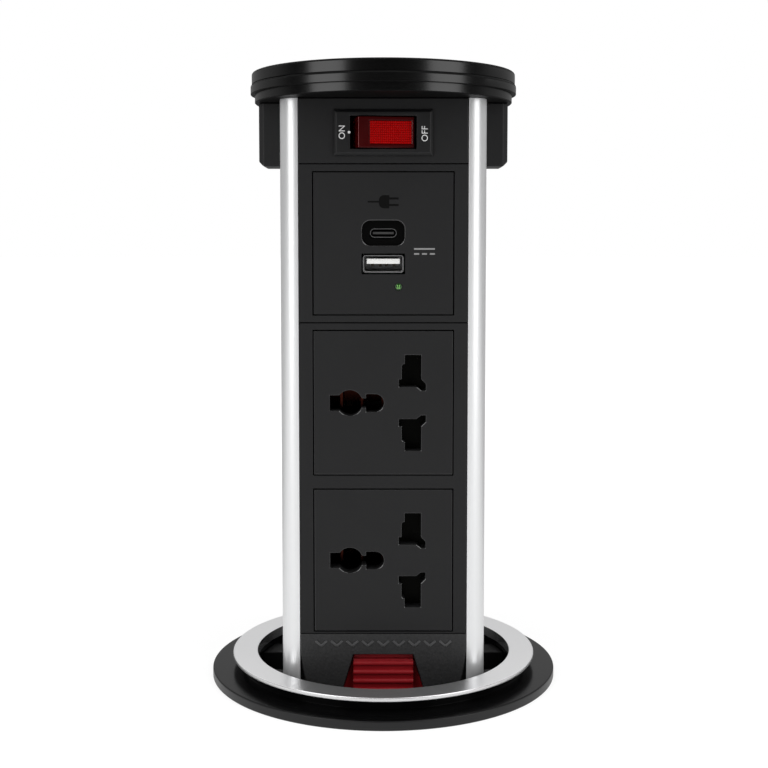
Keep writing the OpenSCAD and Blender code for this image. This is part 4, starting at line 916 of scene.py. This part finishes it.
# USB ports: the lower one's inner walls are a bright matte grey, a painted reflection of light on the
# steel; the upper one has a thin lip
portA = {"name": "portShellA", "node": "usb_a_shell", "edge": 0.1, "finish": "portSteel", "slot": "steel",
         "middle": 140.9, "rimLean": -0.9, "wallLean": 0.1}
portC = {"name": "portShellC", "node": "usb_c_shell", "edge": 0.08, "finish": "pocketBlack",
         "slot": "steel"}
tongueA = {"name": "tongueA", "node": "usb_a_tongue", "edge": 0.12, "finish": "whitePlastic",
           "slot": "white_plastic"}
portMiddle = Vector((0, 0, portA["middle"])) * mm


def onInnerWall(face):
    return abs(face.normal.y) < portA["wallLean"] and face.normal.dot(face.center - portMiddle) < 0


shellA = softEdged(portA)
softEdged(portC)
softEdged(tongueA)
paintFaces(shellA, finishes["portRim"], lambda face: face.normal.y < portA["rimLean"])
# the shell's inner walls take the bright grey, a painted reflection
paintFaces(shellA, finishes["paintedPortReflection"], onInnerWall)
portLip = {"outer": (4.28, 1.44), "inner": (4.08, 1.24), "front": -22.86, "back": -22.5, "middle": 150.8,
           "through": 1.0}
lipOpening = stadium(portLip["inner"], portLip["front"] - portLip["through"],
                     portLip["back"] + portLip["through"], portLip["middle"])
lip = carve(stadium(portLip["outer"], portLip["front"], portLip["back"], portLip["middle"]), lipOpening)
settle(lip, "portLip")
wear(lip, finishes["portRim"], "tower")

# power light: a dark window with two glowing dies over a glowing base
led = {"middle": (4.9, 133.5), "face": -24.0, "radius": 1.1, "deep": 0.25, "seat": 0.1, "smoothAngle": 40,
       "dieProud": 0.04, "dieEdge": 0.06,
       "dies": ((-0.34, 0.34, 0.15, 0.26), (0.32, 0.34, 0.15, 0.26), (0.0, -0.36, 0.6, 0.15))}
ledAcross, ledHeight = led["middle"]
deselectAll()
bpy.ops.mesh.primitive_uv_sphere_add(segments=32, ring_count=16, radius=led["radius"] * mm,
                                     location=Vector((ledAcross, led["face"], ledHeight)) * mm)
window = bpy.context.active_object
window.scale = (1.0, led["deep"] / led["radius"], 1.0)
settle(window, "lightWindow")
editOn(window)
bpy.ops.mesh.bisect(plane_co=(0, (led["face"] + led["seat"]) * mm, 0), plane_no=(0, 1, 0), use_fill=True,
                    clear_outer=True)
editOff()
bpy.ops.object.shade_smooth_by_angle(angle=math.radians(led["smoothAngle"]))
wear(window, finishes["ledGlass"], "tower")
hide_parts("power_led")
dies = []
for aside, above, halfWide, halfHigh in led["dies"]:
    dieFront = led["face"] - led["deep"] - led["dieProud"]
    dies.append(block((ledAcross + aside - halfWide, dieFront, ledHeight + above - halfHigh),
                      (ledAcross + aside + halfWide, led["face"], ledHeight + above + halfHigh)))
glow = joinAll(dies, "lightDies")
roundEdges(glow, led["dieEdge"])
wear(glow, finishes["ledGreen"], "tower")

# generic marks on the USB face: a plug sign, and the direct-current sign
plugSign = {"face": -24.0, "proud": 0.05, "sunk": 0.02, "middle": 160.8, "lead": (-5.0, -1.4, 0.25),
            "body": (-1.4, 1.9, 2.1), "bodyRound": 1.6, "roundSteps": 6, "pins": (1.9, 4.9, 0.32),
            "pinRise": 1.05}


def signBar(bar, height):
    left, right, half = bar
    return stroke(plugSign, left, right, height - half, height + half)


plugLead = signBar(plugSign["lead"], plugSign["middle"])
plugBody = signBar(plugSign["body"], plugSign["middle"])
editOn(plugBody)
pickEdges(plugBody, lambda near, far: runsBack(near, far) and near.x < 0)
bpy.ops.mesh.bevel(offset=plugSign["bodyRound"] * mm, segments=plugSign["roundSteps"], affect="EDGES",
                   clamp_overlap=False)
editOff()
plugPins = [signBar(plugSign["pins"], plugSign["middle"] + side * plugSign["pinRise"])
            for side in (-1, 1)]
wear(joinAll([plugLead, plugBody] + plugPins, "plugSign"), finishes["markDark"], "tower")

currentSign = {"face": -24.0, "proud": 0.04, "sunk": 0.02, "left": 9.9, "right": 16.6, "bar": 145.7,
               "dashes": 144.1, "count": 3, "half": 0.26, "gap": 0.9}
signWidth = currentSign["right"] - currentSign["left"]
dash = (signWidth - (currentSign["count"] - 1) * currentSign["gap"]) / currentSign["count"]
signLines = [(currentSign["left"], signWidth, currentSign["bar"])]
for place in range(currentSign["count"]):
    dashLeft = currentSign["left"] + place * (dash + currentSign["gap"])
    signLines.append((dashLeft, dash, currentSign["dashes"]))
half = currentSign["half"]
printed = [stroke(currentSign, left, left + width, height - half, height + half)
           for left, width, height in signLines]
wear(joinAll(printed, "currentSign"), finishes["markGrey"], "tower")
print("ports done")

# clamp and cable end, below the desk
clampNut = {"name": "nutMoulding", "node": "clamp_nut", "edge": 0.6, "segments": 3,
            "finish": "mouldedBlack", "slot": "black_plastic"}
clampWasher = {"name": "washerPlate", "node": "clamp_washer", "edge": 0.2, "finish": "platedSteel",
               "slot": "steel"}
footPlate = {"name": "footMoulding", "node": "foot_plate", "edge": 0.5, "segments": 3,
             "finish": "mouldedBlack", "slot": "black_plastic"}
glandBody = {"name": "glandHex", "node": "gland_body", "edge": 0.4, "finish": "mouldedBlack",
             "slot": "black_plastic"}
for spec in (clampNut, clampWasher, footPlate, glandBody):
    softEdged(spec)

# dome of the gland with grip ribs
dome = {"axis": (0.0, 23.5), "top": -47.0, "low": -61.0, "shoulder": -57.0, "body": 9.8, "tip": 8.2,
        "bore": 4.0, "edge": 0.6, "steps": 96, "ribs": 18, "ribOut": 10.2, "ribIn": 9.4, "ribWide": 1.1,
        "ribTop": -48.2, "ribLow": -56.4, "ribEdge": 0.2}
domeSection = [(dome["bore"], dome["top"]), (dome["bore"], dome["low"]),
               (dome["tip"] - dome["edge"], dome["low"]), (dome["tip"], dome["low"] + dome["edge"]),
               (dome["body"], dome["shoulder"]), (dome["body"], dome["top"] - dome["edge"] / 2),
               (dome["body"] - dome["edge"] / 2, dome["top"])]
domeBody = turned("domeBody", domeSection, dome["steps"], dome["axis"])
rib = block((dome["ribIn"], -dome["ribWide"] / 2, dome["ribLow"]),
            (dome["ribOut"], dome["ribWide"] / 2, dome["ribTop"]))
roundEdges(rib, dome["ribEdge"])
editOn(rib)
bpy.ops.mesh.spin(steps=dome["ribs"], angle=2 * math.pi, dupli=True, center=(0, 0, 0), axis=(0, 0, 1))
bpy.ops.mesh.select_all(action="SELECT")
bpy.ops.mesh.remove_doubles(threshold=weldGap)
editOff()
rib.location = (dome["axis"][0] * mm, dome["axis"][1] * mm, 0)
settle(rib, "domeRibs")
ribbedDome = joinAll([domeBody, rib], "ribbedDome")
wear(ribbedDome, finishes["mouldedBlack"], "tower")
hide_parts("gland_dome")

# cross recesses cut into the foot screws
crossHead = {"centre": (0.0, 6.0), "ring": 28.6, "angles": (20, 62, 118, 160), "low": -42.0, "deep": 1.3,
             "long": 3.4, "wide": 0.8}
footScrews = {"name": "crossScrews", "node": "foot_screws", "edge": 0.15, "finish": "platedSteel",
              "slot": "steel"}
recesses = []
for angle in crossHead["angles"]:
    turn = math.radians(angle)
    across = crossHead["centre"][0] + crossHead["ring"] * math.cos(turn)
    along = crossHead["centre"][1] + crossHead["ring"] * math.sin(turn)
    for width, depth in ((crossHead["long"], crossHead["wide"]), (crossHead["wide"], crossHead["long"])):
        near = (across - width / 2, along - depth / 2, crossHead["low"] - crossHead["deep"])
        far = (across + width / 2, along + depth / 2, crossHead["low"] + crossHead["deep"])
        recesses.append(block(near, far))
cutter = joinAll(recesses, "cutter")
carve(softEdged(footScrews), cutter)
print("clamp and cable end done")

# desk: a pale floor with the hole that the sleeve passes
floorPlan = {"hole": 48.0, "drop": 0.05, "near": 300.0, "far": 9000.0, "steps": 128, "shade": 0.8,
             "shadow": 0.2, "eyeReach": (0.06, 0.4), "eyeNear": 0.84, "eyeFar": 1.0,
             "mirrorReach": (-0.05, 0.2), "mirrorFront": 0.95, "mirrorBehind": 0.25}
deselectAll()
bpy.ops.mesh.primitive_circle_add(vertices=floorPlan["steps"], radius=floorPlan["hole"] * mm,
                                  fill_type="NOTHING", location=(0, 0, -floorPlan["drop"] * mm))
floor = bpy.context.active_object
editOn(floor)
inner = floorPlan["hole"]
for outer in (floorPlan["near"], floorPlan["far"]):
    bpy.ops.mesh.extrude_region()
    bpy.ops.transform.resize(value=(outer / inner, outer / inner, 1.0))
    inner = outer
bpy.ops.mesh.select_all(action="SELECT")
bpy.ops.mesh.normals_make_consistent(inside=False)
editOff()
settle(floor, "deskTop")

# its paper takes light and shadow, and looks white to the eye and in mirrors
paper = bpy.data.materials.new("palePaper")
paper.use_nodes = True
paperTree = paper.node_tree
paperTree.nodes.remove(paperTree.nodes["Principled BSDF"])
spot = paperTree.nodes.new("ShaderNodeSeparateXYZ")
reach = paperTree.nodes.new("ShaderNodeVectorMath")
reach.operation = "LENGTH"
paperCoords = objectCoords(paperTree)
paperTree.links.new(paperCoords, spot.inputs[0])
paperTree.links.new(paperCoords, reach.inputs[0])
rays = paperTree.nodes.new("ShaderNodeLightPath")
mirrorRay = rays.outputs["Is Glossy Ray"]
eyeRay = mathNode(paperTree, "MAXIMUM", rays.outputs["Is Camera Ray"], rays.outputs["Is Transmission Ray"])
eyeLight = ramp(paperTree, reach.outputs["Value"], floorPlan["eyeReach"], floorPlan["eyeNear"],
                floorPlan["eyeFar"])
mirrorLight = ramp(paperTree, spot.outputs["Y"], floorPlan["mirrorReach"], floorPlan["mirrorFront"],
                   floorPlan["mirrorBehind"])
lit = paperTree.nodes.new("ShaderNodeBsdfDiffuse")
lit.inputs["Color"].default_value = (floorPlan["shade"],) * 3 + (1.0,)
shadowed = paperTree.nodes.new("ShaderNodeBsdfDiffuse")
shadowed.inputs["Color"].default_value = (floorPlan["shadow"],) * 3 + (1.0,)
bright = paperTree.nodes.new("ShaderNodeEmission")
paperTree.links.new(sumOf(paperTree, eyeRay, eyeLight, mirrorRay, mirrorLight), bright.inputs["Strength"])
both = paperTree.nodes.new("ShaderNodeAddShader")
paperTree.links.new(shadowed.outputs[0], both.inputs[0])
paperTree.links.new(bright.outputs[0], both.inputs[1])
choose = paperTree.nodes.new("ShaderNodeMixShader")
paperTree.links.new(mathNode(paperTree, "MAXIMUM", eyeRay, mirrorRay), choose.inputs[0])
paperTree.links.new(lit.outputs[0], choose.inputs[1])
paperTree.links.new(both.outputs[0], choose.inputs[2])
paperTree.links.new(choose.outputs[0], paperTree.nodes["Material Output"].inputs["Surface"])
floor.data.materials.append(paper)

# studio: white behind the object, a dim room behind the camera
studio = {"fill": 0.4, "frontDim": 0.03, "backBright": 0.76, "horizon": 0.32, "overhead": 1.0,
          "sweepBack": (-0.15, 0.25), "sweepUp": (0.18, 0.3), "aim": (0, 0, 0.11)}
world = bpy.data.worlds.new("studio")
scene.world = world
world.use_nodes = True
sky = world.node_tree
backdrop = sky.nodes["Background"]
backdrop.inputs["Color"].default_value = (1.0, 1.0, 1.0, 1.0)
path = sky.nodes.new("ShaderNodeLightPath")
direction = sky.nodes.new("ShaderNodeSeparateXYZ")
sky.links.new(sky.nodes.new("ShaderNodeTexCoord").outputs["Generated"], direction.inputs[0])
behind = ramp(sky, direction.outputs["Y"], studio["sweepBack"], studio["frontDim"], studio["backBright"])
aloft = ramp(sky, direction.outputs["Z"], studio["sweepUp"], studio["horizon"], studio["overhead"])
room = mathNode(sky, "MULTIPLY", behind, aloft)
reflected = mathNode(sky, "MULTIPLY", room, path.outputs["Is Glossy Ray"])
seen = mathNode(sky, "MAXIMUM", path.outputs["Is Camera Ray"], path.outputs["Is Transmission Ray"])
diffuse = mathNode(sky, "MULTIPLY", path.outputs["Is Diffuse Ray"], studio["fill"])
brightest = mathNode(sky, "MAXIMUM", mathNode(sky, "MAXIMUM", seen, reflected), diffuse)
sky.links.new(brightest, backdrop.inputs["Strength"])


def softbox(name, azimuth, distance, height, size, watts):
    deselectAll()
    turn = math.radians(azimuth)
    place = Vector((math.sin(turn) * distance, -math.cos(turn) * distance, height))
    bpy.ops.object.light_add(type="AREA", location=place)
    lamp = bpy.context.active_object
    lamp.name = name
    lamp.rotation_euler = (Vector(studio["aim"]) - place).to_track_quat("-Z", "Y").to_euler()
    lamp.data.shape = "RECTANGLE"
    lamp.data.size, lamp.data.size_y = size
    lamp.data.energy = watts


softbox("leftBox", azimuth=-48, distance=0.9, height=0.6, size=(0.6, 1.4), watts=5.7)
softbox("rightBox", azimuth=54, distance=0.9, height=0.6, size=(0.6, 1.4), watts=5.7)
softbox("topBox", azimuth=0, distance=0.12, height=1.1, size=(0.9, 0.9), watts=3.0)
print("studio lit")
